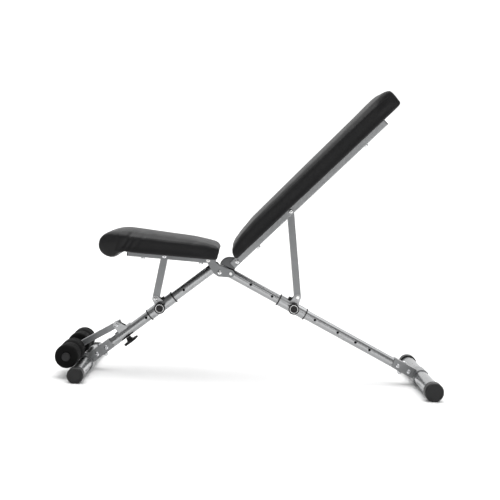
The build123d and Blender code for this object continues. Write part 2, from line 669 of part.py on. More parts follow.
def pull_housing(plane, x):
    """Barrel on the knob side of a sleeve that guides the lock pin."""
    disc(plane, x, 0, HOUSING[0], SLEEVE_R - 3, HOUSING[1], bore=PIN_R + 0.6)
    with BuildSketch(along(plane, x - 20)) as cut:
        Circle(SLEEVE_R + 0.05)
    extrude(cut.sketch, amount=40, mode=Mode.SUBTRACT)


def pull_knob(plane, x):
    """Round pull knob with a stepped rim."""
    disc(plane, x, 0, KNOB_R, KNOB_Y[0], KNOB_Y[1])
    disc(plane, x, 0, KNOB_R - 3.5, KNOB_Y[1], KNOB_Y[1] - 1.5, mode=Mode.SUBTRACT)
    disc(plane, x, 0, PIN_R + 0.02, KNOB_Y[0] - 1, KNOB_Y[1] - 5, mode=Mode.SUBTRACT)


with BuildPart() as rear_link:
    link(world(back_line, (BACKREST_CRANK, 0)), world(rear_leg, REAR_PROP_PIN), 11.0)
rear_link.part.label = "rear_link"

with BuildPart() as rear_link_bolt:
    link_bolt(back_line, (BACKREST_CRANK, 0))
rear_link_bolt.part.label = "rear_link_bolt"

with BuildPart() as rear_sleeve:
    sleeve(rear_leg, REAR_PROP_PIN, REAR_PROP_PIN[0] + PIN_OFFSET)
rear_sleeve.part.label = "rear_sleeve"

with BuildPart() as rear_bushes:
    bushes(rear_leg, REAR_PROP_PIN, REAR_TUBE_R)
rear_bushes.part.label = "rear_bushes"

with BuildPart() as rear_bumper:
    bumper(rear_leg, REAR_PROP_PIN, -1, 8.0)
rear_bumper.part.label = "rear_bumper"

with BuildPart() as rear_clevis_pins:
    for side in (-1, 1):
        disc(rear_leg, *REAR_PROP_PIN, BOLT_R, side * (CLEVIS_GAP + 0.1), side * (CLEVIS_GAP + CLEVIS_EAR + 0.5))
        with BuildSketch(rear_leg.offset(side * (CLEVIS_GAP + CLEVIS_EAR + 0.05))):
            with Locations(REAR_PROP_PIN):
                Circle(HEAD_R)
        extrude(amount=side * HEAD_HEIGHT, taper=HEAD_TAPER)
rear_clevis_pins.part.label = "rear_clevis_pins"

with BuildPart() as rear_pull_housing:
    pull_housing(rear_leg, REAR_PROP_PIN[0] + PIN_OFFSET)
rear_pull_housing.part.label = "rear_pull_housing"

with BuildPart() as rear_pull_knob:
    pull_knob(rear_leg, REAR_PROP_PIN[0] + PIN_OFFSET)
rear_pull_knob.part.label = "rear_pull_knob"

with BuildPart() as rear_knob_face:
    disc(rear_leg, REAR_PROP_PIN[0] + PIN_OFFSET, 0, KNOB_R - 3.6, KNOB_Y[1] - 1.5, KNOB_Y[1] + 0.6)
rear_knob_face.part.label = "rear_knob_face"

with BuildPart() as rear_lock_pin:
    disc(rear_leg, REAR_PROP_PIN[0] + PIN_OFFSET, 0, PIN_R, PIN_TIP, KNOB_Y[1] - 5.1)
rear_lock_pin.part.label = "rear_lock_pin"

with BuildPart() as seat_link:
    link(world(seat_line, seat_bolt), world(front_leg, SEAT_PROP_PIN), 8.3)
seat_link.part.label = "seat_link"

with BuildPart() as seat_link_bolt:
    link_bolt(seat_line, seat_bolt)
seat_link_bolt.part.label = "seat_link_bolt"

with BuildPart() as front_sleeve:
    sleeve(front_leg, SEAT_PROP_PIN, SEAT_PROP_PIN[0] - PIN_OFFSET)
front_sleeve.part.label = "front_sleeve"

with BuildPart() as front_bushes:
    bushes(front_leg, SEAT_PROP_PIN, FRONT_TUBE_R)
front_bushes.part.label = "front_bushes"

with BuildPart() as front_bumper:
    bumper(front_leg, SEAT_PROP_PIN, 1, 4.0)
front_bumper.part.label = "front_bumper"

with BuildPart() as front_clevis_bolt:
    bolt(front_leg, *SEAT_PROP_PIN, CLEVIS_GAP + CLEVIS_EAR + 0.1)
front_clevis_bolt.part.label = "front_clevis_bolt"

with BuildPart() as front_pull_housing:
    pull_housing(front_leg, SEAT_PROP_PIN[0] - PIN_OFFSET)
front_pull_housing.part.label = "front_pull_housing"

with BuildPart() as front_pull_knob:
    pull_knob(front_leg, SEAT_PROP_PIN[0] - PIN_OFFSET)
front_pull_knob.part.label = "front_pull_knob"

with BuildPart() as front_knob_face:
    disc(front_leg, SEAT_PROP_PIN[0] - PIN_OFFSET, 0, KNOB_R - 3.6, KNOB_Y[1] - 1.5, KNOB_Y[1] + 0.6)
front_knob_face.part.label = "front_knob_face"

with BuildPart() as front_lock_pin:
    disc(front_leg, SEAT_PROP_PIN[0] - PIN_OFFSET, 0, PIN_R, PIN_TIP, KNOB_Y[1] - 5.1)
front_lock_pin.part.label = "front_lock_pin"

# ---- foot roller bracket, arm and rollers --------------------------------------------------------
with BuildPart() as roller_bracket:
    base_start, base_end = ROLLER_BRACKET_SPAN
    with BuildSketch(along(front_leg, base_start)):
        Circle(FRONT_TUBE_R + BRACKET_BASE)
        Circle(FRONT_TUBE_R + 0.05, mode=Mode.SUBTRACT)
        with Locations((0, -24)):
            Rectangle(80, 60, mode=Mode.SUBTRACT)
    extrude(amount=base_end - base_start)
    pair_of_plates(front_leg, [(*ARM_PIVOT, 11.0), (ARM_PIVOT[0] - 8, 10.5, 1.5), (ARM_PIVOT[0] + 24, 10.5, 1.5)],
                   (ARM_HALF_WIDTH + 0.4, ARM_HALF_WIDTH + 3.4), [ARM_PIVOT])
    with BuildSketch(upright(front_leg, STAR_KNOB_AT, 0)):
        Circle(STUD_R + 0.3)
    extrude(amount=60, mode=Mode.SUBTRACT)
    with BuildSketch(along(front_leg, base_start - 5)):
        Circle(FRONT_TUBE_R + 0.05)
    extrude(amount=base_end - base_start + 10, mode=Mode.SUBTRACT)
roller_bracket.part.label = "roller_bracket"

with BuildPart() as roller_arm_bolt:
    bolt(front_leg, *ARM_PIVOT, ARM_HALF_WIDTH + 3.5)
roller_arm_bolt.part.label = "roller_arm_bolt"

arm_start = world(front_leg, ARM_PIVOT)
arm_end = world(front_leg, ROLLER_AXLE)
arm_line = side_plane(*arm_start, math.degrees(math.atan2(arm_end[1] - arm_start[1], arm_end[0] - arm_start[0])))
arm_length = math.dist(arm_start, arm_end)

with BuildPart() as roller_arm:
    with BuildSketch(along(arm_line, -ARM_TAIL)):
        rounded_box(2 * ARM_HALF_WIDTH, 2 * ARM_HALF_HEIGHT, RAIL_WALL)
    extrude(amount=ARM_TAIL + arm_length - AXLE_R)
    disc(arm_line, arm_length, 0, AXLE_R + 3, -ARM_HALF_WIDTH, ARM_HALF_WIDTH)
    disc(arm_line, arm_length, 0, AXLE_R + 0.05, -40, 40, mode=Mode.SUBTRACT)
    disc(arm_line, 0, 0, BOLT_HOLE_R, -40, 40, mode=Mode.SUBTRACT)
roller_arm.part.label = "roller_arm"

with BuildPart() as roller_arm_plug:
    with BuildSketch(along(arm_line, -ARM_TAIL)):
        RectangleRounded(2 * ARM_HALF_WIDTH, 2 * ARM_HALF_HEIGHT, 2)
    extrude(amount=-1.5)
    with BuildSketch(along(arm_line, -ARM_TAIL)):
        RectangleRounded(2 * (ARM_HALF_WIDTH - RAIL_WALL) - 0.1, 2 * (ARM_HALF_HEIGHT - RAIL_WALL) - 0.1, 1)
    extrude(amount=7)
roller_arm_plug.part.label = "roller_arm_plug"

with BuildPart() as roller_axle:
    disc(arm_line, arm_length, 0, AXLE_R, -ROLLER[3] + 2, ROLLER[3] - 2, bore=AXLE_R - TUBE_WALL)
roller_axle.part.label = "roller_axle"

with BuildPart() as roller_axle_plugs:
    for side in (-1, 1):
        disc(arm_line, arm_length, 0, AXLE_R + 2.5, side * (ROLLER[3] + 0.5), side * (ROLLER[3] + 4.5))
        disc(arm_line, arm_length, 0, AXLE_R - TUBE_WALL - 0.05, side * (ROLLER[3] + 0.5), side * (ROLLER[3] - 14))
roller_axle_plugs.part.label = "roller_axle_plugs"


def foam_roller(side):
    """Foam roller of two soft swells with a waist between them, bored for the axle."""
    swell, waist, inner, outer = ROLLER
    middle = (inner + outer) / 2
    edge = 9.0
    with BuildSketch(Plane(origin=(arm_end[0], 0, arm_end[1]), x_dir=(0, side, 0), z_dir=(1, 0, 0))) as half:
        with BuildLine():
            Line((inner, AXLE_R + 0.1), (inner, swell - edge))
            ThreePointArc((inner, swell - edge), (inner + edge * 0.3, swell - edge * 0.3), (inner + edge, swell))
            Line((inner + edge, swell), (middle - 2 * edge, swell))
            ThreePointArc((middle - 2 * edge, swell), (middle, waist), (middle + 2 * edge, swell))
            Line((middle + 2 * edge, swell), (outer - edge, swell))
            ThreePointArc((outer - edge, swell), (outer - edge * 0.3, swell - edge * 0.3), (outer, swell - edge))
            Line((outer, swell - edge), (outer, AXLE_R + 0.1))
            Line((outer, AXLE_R + 0.1), (inner, AXLE_R + 0.1))
        make_face()
    revolve(half.sketch, axis=Axis((arm_end[0], 0, arm_end[1]), (0, 1, 0)))


with BuildPart() as near_foam_roller:
    foam_roller(-1)
near_foam_roller.part.label = "near_foam_roller"

with BuildPart() as far_foam_roller:
    foam_roller(1)
far_foam_roller.part.label = "far_foam_roller"

# ---- star knob under the front leg ---------------------------------------------------------------
knob_base = upright(front_leg, STAR_KNOB_AT, -FRONT_TUBE_R - STAR_NECK)

with BuildPart() as star_knob:
    with BuildSketch(upright(front_leg, STAR_KNOB_AT, -FRONT_TUBE_R - 0.5)):
        Circle(STAR_NECK_R)
    extrude(amount=-STAR_NECK, taper=-6)
    with BuildSketch(knob_base):
        Circle(STAR_R - 3)
        with PolarLocations(STAR_R - 6, STAR_LOBES):
            Circle(6)
    extrude(amount=-STAR_THICKNESS)
    with BuildSketch(upright(front_leg, STAR_KNOB_AT, 0)):
        Circle(STUD_R + 0.02)
    extrude(amount=-FRONT_TUBE_R - STAR_NECK - STAR_THICKNESS + 4, mode=Mode.SUBTRACT)
star_knob.part.label = "star_knob"

with BuildPart() as star_knob_stud:
    with BuildSketch(upright(front_leg, STAR_KNOB_AT, FRONT_TUBE_R + BRACKET_BASE)):
        Circle(STUD_R)
    extrude(amount=-2 * FRONT_TUBE_R - BRACKET_BASE - STAR_NECK - STAR_THICKNESS + 5)
star_knob_stud.part.label = "star_knob_stud"

# ---- one STEP file per piece ---------------------------------------------------------------------
PIECES = (
    rear_leg_tube, rear_stabiliser, rear_stabiliser_caps, rear_foot_bracket, rear_foot_bolts,
    head_plates, head_core, backrest_pivot_bolt, backrest_pivot_spacers,
    backrest_rail, backrest_rail_plug, backrest_board, backrest_pad, backrest_screws,
    rear_link, rear_link_bolt, rear_sleeve, rear_bushes, rear_bumper, rear_clevis_pins,
    rear_pull_housing, rear_pull_knob, rear_knob_face, rear_lock_pin,
    front_leg_tube, front_leg_plug, front_stabiliser, front_stabiliser_caps,
    front_foot_bracket, front_foot_bolts, hub_plates, hub_bolt, hub_spacer, fold_rivet,
    seat_pivot_bolt, seat_rail, seat_rail_plug, seat_board, seat_pad, seat_screws,
    seat_link, seat_link_bolt, front_sleeve, front_bushes, front_bumper, front_clevis_bolt,
    front_pull_housing, front_pull_knob, front_knob_face, front_lock_pin,
    roller_bracket, roller_arm_bolt, roller_arm, roller_arm_plug, roller_axle, roller_axle_plugs,
    near_foam_roller, far_foam_roller, star_knob, star_knob_stud,
)
os.makedirs("parts", exist_ok=True)
for piece in PIECES:
    export_step(piece.part, f"parts/{piece.part.label}.step")
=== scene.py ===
"""Looks of the folding sit-up bench: pads, foam, plastics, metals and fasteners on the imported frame."""

import json
import logging
import math
from dataclasses import dataclass, field
from enum import Enum

import bmesh
import bpy
from mathutils import Matrix, Vector
from mathutils.bvhtree import BVHTree


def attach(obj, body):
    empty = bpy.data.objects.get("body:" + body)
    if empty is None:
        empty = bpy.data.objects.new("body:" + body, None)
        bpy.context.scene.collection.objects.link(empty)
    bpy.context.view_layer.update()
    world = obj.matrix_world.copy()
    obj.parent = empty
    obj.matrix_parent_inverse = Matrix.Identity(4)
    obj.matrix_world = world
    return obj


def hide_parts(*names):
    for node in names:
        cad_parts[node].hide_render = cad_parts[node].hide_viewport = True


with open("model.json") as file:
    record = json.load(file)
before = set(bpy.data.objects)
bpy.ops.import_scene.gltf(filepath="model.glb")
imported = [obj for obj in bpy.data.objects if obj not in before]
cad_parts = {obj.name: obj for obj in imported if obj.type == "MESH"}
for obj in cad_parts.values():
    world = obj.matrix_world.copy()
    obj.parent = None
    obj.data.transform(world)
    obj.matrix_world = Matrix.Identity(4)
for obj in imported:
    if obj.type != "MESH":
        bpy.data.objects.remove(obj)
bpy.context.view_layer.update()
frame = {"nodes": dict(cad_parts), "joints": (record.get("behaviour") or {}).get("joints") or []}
MM = 0.001
REAR_KNOB_AT = 238.0
FRONT_KNOB_AT = 306.0
REAR_UPRIGHT_AT = 652.0
log = logging.getLogger("bench")
logging.basicConfig(level=logging.INFO, format="%(name)s: %(message)s")

JOINTS = {joint["name"]: joint for joint in frame["joints"]}


# ---- places ------------------------------------------------------------------------------------
@dataclass(frozen=True)
class SideLine:
    """A line in the bench's side view that a sub-assembly is laid out along, in millimetres."""

    x: float
    z: float
    angle: float

    @classmethod
    def at_joint(cls, joint: str, angle: float) -> "SideLine":
        """Starts the line at a joint of the frame.

        Args:
            joint: the joint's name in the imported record.
            angle: the line's slope in degrees.

        Returns:
            The line, with its origin on the joint's axis.
        """
        place = JOINTS[joint]["pos_m"]
        return cls(place[0] / MM, place[2] / MM, angle)

    @property
    def run(self) -> Vector:
        """Direction along the line."""
        slope = math.radians(self.angle)
        return Vector((math.cos(slope), 0.0, math.sin(slope)))

    @property
    def rise(self) -> Vector:
        """Direction square to the line, on its upper side."""
        slope = math.radians(self.angle)
        return Vector((-math.sin(slope), 0.0, math.cos(slope)))

    def at(self, u: float, v: float, y: float = 0.0) -> Vector:
        """Point at u along and v above the line, y across the bench, in metres."""
        return (Vector((self.x, y, self.z)) + self.run * u + self.rise * v) * MM

    def locate(self, point: Vector) -> tuple[float, float, float]:
        """Local u, v and y of a point given in metres."""
        gap = point / MM - Vector((self.x, 0.0, self.z))
        return gap.dot(self.run), gap.dot(self.rise), gap.y


REAR_LEG = SideLine.at_joint("leg_fold", -26.0)
BACK_LINE = SideLine.at_joint("backrest_tilt", 46.2)
SEAT_LINE = SideLine.at_joint("seat_tilt", -2.25)
FRONT_LEG = SideLine(-533.5, 24.0, 39.4)
NEAR = Vector((0.0, -1.0, 0.0))


# ---- finishes ----------------------------------------------------------------------------------
class Grain(Enum):
    """How a surface is textured."""

    PAINT = "paint"
    DRAWN = "drawn"
    ZINC = "zinc"
    MOULDED = "moulded"
    LEATHERETTE = "leatherette"
    FOAM = "foam"
    PLAIN = "plain"


@dataclass(frozen=True)
class Finish:
    """One surface finish: its colour, gloss and grain."""

    name: str
    grain: Grain
    colour: tuple[float, float, float]
    tint: tuple[float, float, float]
    rough: tuple[float, float]
    metallic: float = 0.0
    bump: float = 0.2
    scale: float = 400.0
    coat: float = 0.0
    sheen: float = 0.0
    spec: float = 0.5
    # Tube axis x, z and bore radius, in millimetres: inside the bore the colour is painted near black as
    # shade.
    painted_bore_shade: tuple[float, float, float] | None = None
    turn: tuple[float, float, float] = (0.0, 0.0, 0.0)

    def material(self) -> bpy.types.Material:
        """The finish as a node material, made once.

        Returns:
            The material with this finish's name.
        """
        made = bpy.data.materials.get(self.name)
        if made:
            return made
        made = bpy.data.materials.new(self.name)
        made.use_nodes = True
        tree = made.node_tree
        tree.nodes.clear()
        output = tree.nodes.new("ShaderNodeOutputMaterial")
        shader = tree.nodes.new("ShaderNodeBsdfPrincipled")
        tree.links.new(shader.outputs["BSDF"], output.inputs["Surface"])
        shader.inputs["Metallic"].default_value = self.metallic
        shader.inputs["Specular IOR Level"].default_value = self.spec
        shader.inputs["Coat Weight"].default_value = self.coat
        shader.inputs["Coat Roughness"].default_value = 0.25
        shader.inputs["Sheen Weight"].default_value = self.sheen
        shader.inputs["Sheen Roughness"].default_value = 0.5
        place = tree.nodes.new("ShaderNodeTexCoord").outputs["Object"]
        self._colour(tree, shader, place)
        self._roughness(tree, shader, place)
        self._relief(tree, shader, place)
        return made

    def _noise(self, tree: bpy.types.NodeTree, place: bpy.types.NodeSocket, scale: float,
               detail: float = 3.0) -> bpy.types.NodeSocket:
        """Noise of the given scale over Object coordinates."""
        noise = tree.nodes.new("ShaderNodeTexNoise")
        noise.inputs["Scale"].default_value = scale
        noise.inputs["Detail"].default_value = detail
        tree.links.new(place, noise.inputs["Vector"])
        return noise.outputs["Fac"]

    def _stretched(self, tree: bpy.types.NodeTree, place: bpy.types.NodeSocket,
                   stretch: tuple[float, float, float]) -> bpy.types.NodeSocket:
        """Coordinates turned to the piece's run and stretched along it."""
        mapping = tree.nodes.new("ShaderNodeMapping")
        mapping.vector_type = "TEXTURE"
        mapping.inputs["Rotation"].default_value = self.turn
        mapping.inputs["Scale"].default_value = stretch
        tree.links.new(place, mapping.inputs["Vector"])
        return mapping.outputs["Vector"]

    def _colour(self, tree: bpy.types.NodeTree, shader: bpy.types.Node,
                place: bpy.types.NodeSocket) -> None:
        """Links a colour that drifts between the finish's two colours; on a tube it also paints shade inside
        the bore, near black within the wall.
        """
        ramp = tree.nodes.new("ShaderNodeValToRGB")
        ramp.color_ramp.elements[0].position = 0.32
        ramp.color_ramp.elements[1].position = 0.68
        ramp.color_ramp.elements[0].color = (*self.tint, 1.0)
        ramp.color_ramp.elements[1].color = (*self.colour, 1.0)
        if self.grain is Grain.DRAWN:
            source = self._noise(tree, self._stretched(tree, place, (30.0, 1.0, 1.0)), 160.0)
        else:
            source = self._noise(tree, place, 9.0)
        tree.links.new(source, ramp.inputs["Fac"])
        if self.painted_bore_shade is None:
            tree.links.new(ramp.outputs["Color"], shader.inputs["Base Color"])
            return
        # Painted shade: within the tube's wall the colour drops to near black, standing in for the shade
        # inside the bore and lock holes.
        x, z, radius = (value * MM for value in self.painted_bore_shade)
        axis = tree.nodes.new("ShaderNodeMapping")
        axis.vector_type = "TEXTURE"
        axis.inputs["Location"].default_value = (x, 0.0, z)
        axis.inputs["Rotation"].default_value = self.turn
        flat = tree.nodes.new("ShaderNodeVectorMath")
        flat.operation = "MULTIPLY"
        flat.inputs[1].default_value = (0.0, 1.0, 1.0)
        reach = tree.nodes.new("ShaderNodeVectorMath")
        reach.operation = "LENGTH"
        painted_shade_mask = tree.nodes.new("ShaderNodeMapRange")
        painted_shade_mask.inputs["From Min"].default_value = radius - 1.1 * MM
        painted_shade_mask.inputs["From Max"].default_value = radius - 0.5 * MM
        painted_shade_mask.inputs["To Min"].default_value = 0.02
        shade = tree.nodes.new("ShaderNodeVectorMath")
        shade.operation = "SCALE"
        tree.links.new(place, axis.inputs["Vector"])
        tree.links.new(axis.outputs["Vector"], flat.inputs[0])
        tree.links.new(flat.outputs["Vector"], reach.inputs[0])
        tree.links.new(reach.outputs["Value"], painted_shade_mask.inputs["Value"])
        tree.links.new(ramp.outputs["Color"], shade.inputs[0])
        tree.links.new(painted_shade_mask.outputs["Result"], shade.inputs["Scale"])
        tree.links.new(shade.outputs["Vector"], shader.inputs["Base Color"])

    def _roughness(self, tree: bpy.types.NodeTree, shader: bpy.types.Node,
                   place: bpy.types.NodeSocket) -> None:
        """Links a roughness that varies with handling marks."""
        spread = tree.nodes.new("ShaderNodeMapRange")
        spread.inputs["From Min"].default_value = 0.3
        spread.inputs["From Max"].default_value = 0.7
        spread.inputs["To Min"].default_value = self.rough[0]
        spread.inputs["To Max"].default_value = self.rough[1]
        tree.links.new(self._noise(tree, place, 26.0, 5.0), spread.inputs["Value"])
        tree.links.new(spread.outputs["Result"], shader.inputs["Roughness"])

    def _relief(self, tree: bpy.types.NodeTree, shader: bpy.types.Node,
                place: bpy.types.NodeSocket) -> None:
        """Links the small relief: leather cells, foam pores, moulding grain or drawing lines."""
        bump = tree.nodes.new("ShaderNodeBump")
        bump.inputs["Strength"].default_value = self.bump
        bump.inputs["Distance"].default_value = 0.0006
        if self.grain in (Grain.LEATHERETTE, Grain.FOAM, Grain.MOULDED):
            cells = tree.nodes.new("ShaderNodeTexVoronoi")
            cells.feature = "DISTANCE_TO_EDGE" if self.grain is Grain.LEATHERETTE else "F1"
            cells.inputs["Scale"].default_value = self.scale
            warp = tree.nodes.new("ShaderNodeVectorMath")
            warp.operation = "MULTIPLY_ADD"
            drift = tree.nodes.new("ShaderNodeTexNoise")
            drift.inputs["Scale"].default_value = self.scale * 0.5
            tree.links.new(place, drift.inputs["Vector"])
            tree.links.new(drift.outputs["Color"], warp.inputs[0])
            warp.inputs[1].default_value = (0.002, 0.002, 0.002)
            tree.links.new(place, warp.inputs[2])
            tree.links.new(warp.outputs["Vector"], cells.inputs["Vector"])
            ramp = tree.nodes.new("ShaderNodeMapRange")
            ramp.inputs["From Max"].default_value = 0.35 if self.grain is Grain.LEATHERETTE else 0.8
            tree.links.new(cells.outputs["Distance"], ramp.inputs["Value"])
            height = ramp.outputs["Result"]
        elif self.grain is Grain.DRAWN:
            height = self._noise(tree, self._stretched(tree, place, (60.0, 1.0, 1.0)), 500.0, 2.0)
        else:
            height = self._noise(tree, place, self.scale, 2.0)
        tree.links.new(height, bump.inputs["Height"])
        tree.links.new(bump.outputs["Normal"], shader.inputs["Normal"])


@dataclass(frozen=True)
class FinishSet:
    """Every finish on the bench."""

    # The leg tubes carry painted shade inside their bores: the colour goes near black within the wall.
    rear_leg: Finish = Finish("Rear_leg_silver", Grain.DRAWN, (0.40, 0.405, 0.41), (0.35, 0.355, 0.36),
                              (0.22, 0.29), metallic=1.0, bump=0.02, painted_bore_shade=(REAR_LEG.x, REAR_LEG.z, 15.9),
                              turn=(0.0, math.radians(26.0), 0.0))
    front_leg: Finish = Finish("Front_leg_silver", Grain.DRAWN, (0.40, 0.405, 0.41), (0.35, 0.355, 0.36),
                               (0.22, 0.29), metallic=1.0, bump=0.02, painted_bore_shade=(FRONT_LEG.x, FRONT_LEG.z, 16.1),
                               turn=(0.0, math.radians(-39.4), 0.0))
    stabiliser: Finish = Finish("Stabiliser_silver", Grain.DRAWN, (0.36, 0.365, 0.37), (0.31, 0.315, 0.32),
                                (0.24, 0.31), metallic=1.0, bump=0.02, turn=(0.0, 0.0, math.radians(90.0)))
    sleeve: Finish = Finish("Sleeve_silver", Grain.PAINT, (0.42, 0.425, 0.43), (0.37, 0.375, 0.38),
                            (0.25, 0.32), metallic=1.0, bump=0.025, scale=600.0)
    bracket: Finish = Finish("Bracket_grey", Grain.PAINT, (0.31, 0.315, 0.32), (0.27, 0.275, 0.28),
                             (0.34, 0.44), metallic=0.85, bump=0.035, scale=700.0)
    # Same grey paint as the hub plates, painted darker as shade: these plates sit in shadow behind the hub
    # bracket.
    head: Finish = Finish("Head_grey_painted_shade", Grain.PAINT, (0.13, 0.132, 0.135), (0.10, 0.102, 0.105),
                          (0.34, 0.44), metallic=0.85, bump=0.035, scale=700.0)
    plate: Finish = Finish("Plate_grey", Grain.PAINT, (0.24, 0.245, 0.25), (0.20, 0.205, 0.21),
                           (0.34, 0.44), metallic=0.85, bump=0.035, scale=700.0)
    rail: Finish = Finish("Rail_grey", Grain.PAINT, (0.33, 0.335, 0.34), (0.29, 0.295, 0.30),
                          (0.34, 0.42), metallic=0.85, bump=0.035, scale=700.0)
    link: Finish = Finish("Link_grey", Grain.PAINT, (0.27, 0.275, 0.28), (0.23, 0.235, 0.24),
                          (0.34, 0.42), metallic=0.85, bump=0.035, scale=700.0)
    zinc: Finish = Finish("Bright_zinc", Grain.ZINC, (0.78, 0.78, 0.77), (0.66, 0.67, 0.69),
                          (0.16, 0.26), metallic=1.0, bump=0.1, scale=500.0)
    ring: Finish = Finish("Polished_ring", Grain.ZINC, (0.70, 0.70, 0.70), (0.62, 0.62, 0.62),
                          (0.14, 0.22), metallic=1.0, bump=0.04, scale=500.0)
    plastic: Finish = Finish("Moulded_black", Grain.MOULDED, (0.006, 0.006, 0.0065), (0.004, 0.004, 0.0045),
                             (0.40, 0.50), bump=0.18, scale=1400.0, spec=0.4)
    bush: Finish = Finish("Bush_black", Grain.MOULDED, (0.010, 0.010, 0.010), (0.007, 0.007, 0.007),
                          (0.34, 0.44), bump=0.1, scale=1600.0, spec=0.4)
    rubber: Finish = Finish("Bumper_rubber", Grain.MOULDED, (0.014, 0.014, 0.014), (0.010, 0.010, 0.010),
                            (0.62, 0.78), bump=0.25, scale=1100.0, spec=0.3)
    cover: Finish = Finish("Black_leatherette", Grain.LEATHERETTE, (0.0065, 0.0065, 0.007),
                           (0.0045, 0.0045, 0.005), (0.44, 0.54), bump=0.10, scale=620.0, spec=0.26)
    thread: Finish = Finish("Black_thread", Grain.PLAIN, (0.02, 0.02, 0.02), (0.012, 0.012, 0.012),
                            (0.55, 0.7), bump=0.3, scale=2500.0, sheen=0.1)
    foam: Finish = Finish("Black_foam", Grain.FOAM, (0.006, 0.006, 0.006), (0.004, 0.004, 0.004),
                          (0.80, 0.92), bump=0.45, scale=750.0, spec=0.12)
    lining: Finish = Finish("Black_board_cloth", Grain.FOAM, (0.012, 0.012, 0.012), (0.008, 0.008, 0.008),
                            (0.8, 0.95), bump=0.3, scale=1500.0, spec=0.15)
    floor: Finish = Finish("Studio_floor", Grain.PLAIN, (0.90, 0.90, 0.90), (0.89, 0.89, 0.89),
                           (0.6, 0.65), bump=0.0, scale=20.0, spec=0.1)


FINISHES = FinishSet()


# ---- mesh helpers ------------------------------------------------------------------------------
def piece(name: str, verts: list, faces: list, finish: Finish, smooth: bool = True) -> bpy.types.Object:
    """Makes a mesh object from points and faces, dressed and linked.

    Args:
        name: the piece's name.
        verts: its points in metres.
        faces: its faces as lists of point numbers.
        finish: the finish it wears.
        smooth: whether its faces are shaded smooth.

    Returns:
        The object, at the origin.
    """
    mesh = bpy.data.meshes.new(name)
    mesh.from_pydata([tuple(v) for v in verts], [], faces)
    made = bpy.data.objects.new(name, mesh)
    bpy.context.scene.collection.objects.link(made)
    tidy = bmesh.new()
    tidy.from_mesh(mesh)
    bmesh.ops.remove_doubles(tidy, verts=tidy.verts, dist=1e-6)
    bmesh.ops.recalc_face_normals(tidy, faces=tidy.faces)
    tidy.to_mesh(mesh)
    tidy.free()
    mesh.polygons.foreach_set("use_smooth", [smooth] * len(mesh.polygons))
    mesh.materials.append(finish.material())
    return made


def across(axis: Vector) -> tuple[Vector, Vector]:
    """Two directions square to an axis and to each other."""
    hint = Vector((0.0, 0.0, 1.0)) if abs(axis.z) < 0.9 else Vector((1.0, 0.0, 0.0))
    first = axis.cross(hint).normalized()
    return first, axis.cross(first).normalized()


def lathe(profile: list[tuple[float, float]], centre: Vector, axis: Vector, steps: int = 48,
          shape=None) -> tuple[list, list]:
    """Turns a profile round an axis; ends on the axis are closed.

    Args:
        profile: (radius, height) pairs in millimetres, from one end to the other.
        centre: the point at height 0, in metres.
        axis: the direction heights are measured along.
        steps: how many segments go round.
        shape: optional function of (radius, height, angle) that returns a new radius and height.

    Returns:
        The points and the faces.
    """
    first, second = across(axis)
    verts, faces = [], []
    for radius, height in profile:
        for step in range(steps):
            angle = 2 * math.pi * step / steps
            r, h = shape(radius, height, angle) if shape else (radius, height)
            verts.append(centre
                         + (first * (r * math.cos(angle)) + second * (r * math.sin(angle)) + axis * h) * MM)
    for ring in range(len(profile) - 1):
        for step in range(steps):
            after = (step + 1) % steps
            faces.append([ring * steps + step, ring * steps + after,
                          (ring + 1) * steps + after, (ring + 1) * steps + step])
    for ring in (0, len(profile) - 1):
        if profile[ring][0] > 0.01:
            loop = [ring * steps + step for step in range(steps)]
            faces.append(loop if ring else loop[::-1])
    return verts, faces


def merge(parts: list[tuple[list, list]]) -> tuple[list, list]:
    """Joins several (points, faces) pairs into one."""
    verts, faces = [], []
    for more_verts, more_faces in parts:
        start = len(verts)
        verts.extend(more_verts)
        faces.extend([[index + start for index in face] for face in more_faces])
    return verts, faces


def rounded(points: list[tuple[float, float]], radius: float, steps: int = 4) -> list[tuple[float, float]]:
    """Rounds the inner corners of an open profile.

    Args:
        points: the profile's corners.
        radius: the most that a corner is cut back.
        steps: points per rounded corner.

    Returns:
        The profile with each inner corner drawn as an arc.
    """
    out = [points[0]]
    for before, corner, after in zip(points, points[1:], points[2:]):
        a, b, c = Vector(before), Vector(corner), Vector(after)
        cut = min(radius, (a - b).length * 0.45, (c - b).length * 0.45)
        start, end = b + (a - b).normalized() * cut, b + (c - b).normalized() * cut
        for step in range(steps + 1):
            t = step / steps
            out.append(tuple(start * (1 - t) ** 2 + b * (2 * t * (1 - t)) + end * t ** 2))
    out.append(points[-1])
    return out


def resample(points: list[tuple], spacing: float, closed: bool = True) -> list[tuple]:
    """Spreads points evenly along a line, carrying every number of each point.

    Args:
        points: the line's points; the first two numbers are its place.
        spacing: the distance wanted between points.
        closed: whether the last point joins the first.

    Returns:
        The evenly spaced points.
    """
    ring = list(points) + ([points[0]] if closed else [])
    out = []
    for start, end in zip(ring, ring[1:]):
        gap = math.dist(start[:2], end[:2])
        count = max(1, round(gap / spacing))
        for step in range(count):
            t = step / count
            out.append(tuple(a * (1 - t) + b * t for a, b in zip(start, end)))
    if not closed:
        out.append(ring[-1])
    return out


def finished_mesh(name: str, source: bpy.types.Object, finish: Finish) -> bpy.types.Object:
    """Turns an object's evaluated result into a plain mesh piece and drops the source.

    Args:
        name: the new piece's name.
        source: the object with its modifiers.
        finish: the finish the piece wears.

    Returns:
        The new piece, with no modifiers.
    """
    graph = bpy.context.evaluated_depsgraph_get()
    mesh = bpy.data.meshes.new_from_object(source.evaluated_get(graph))
    mesh.name = name
    bpy.data.objects.remove(source)
    made = bpy.data.objects.new(name, mesh)
    bpy.context.scene.collection.objects.link(made)
    if not mesh.materials:
        mesh.materials.append(finish.material())
    return made


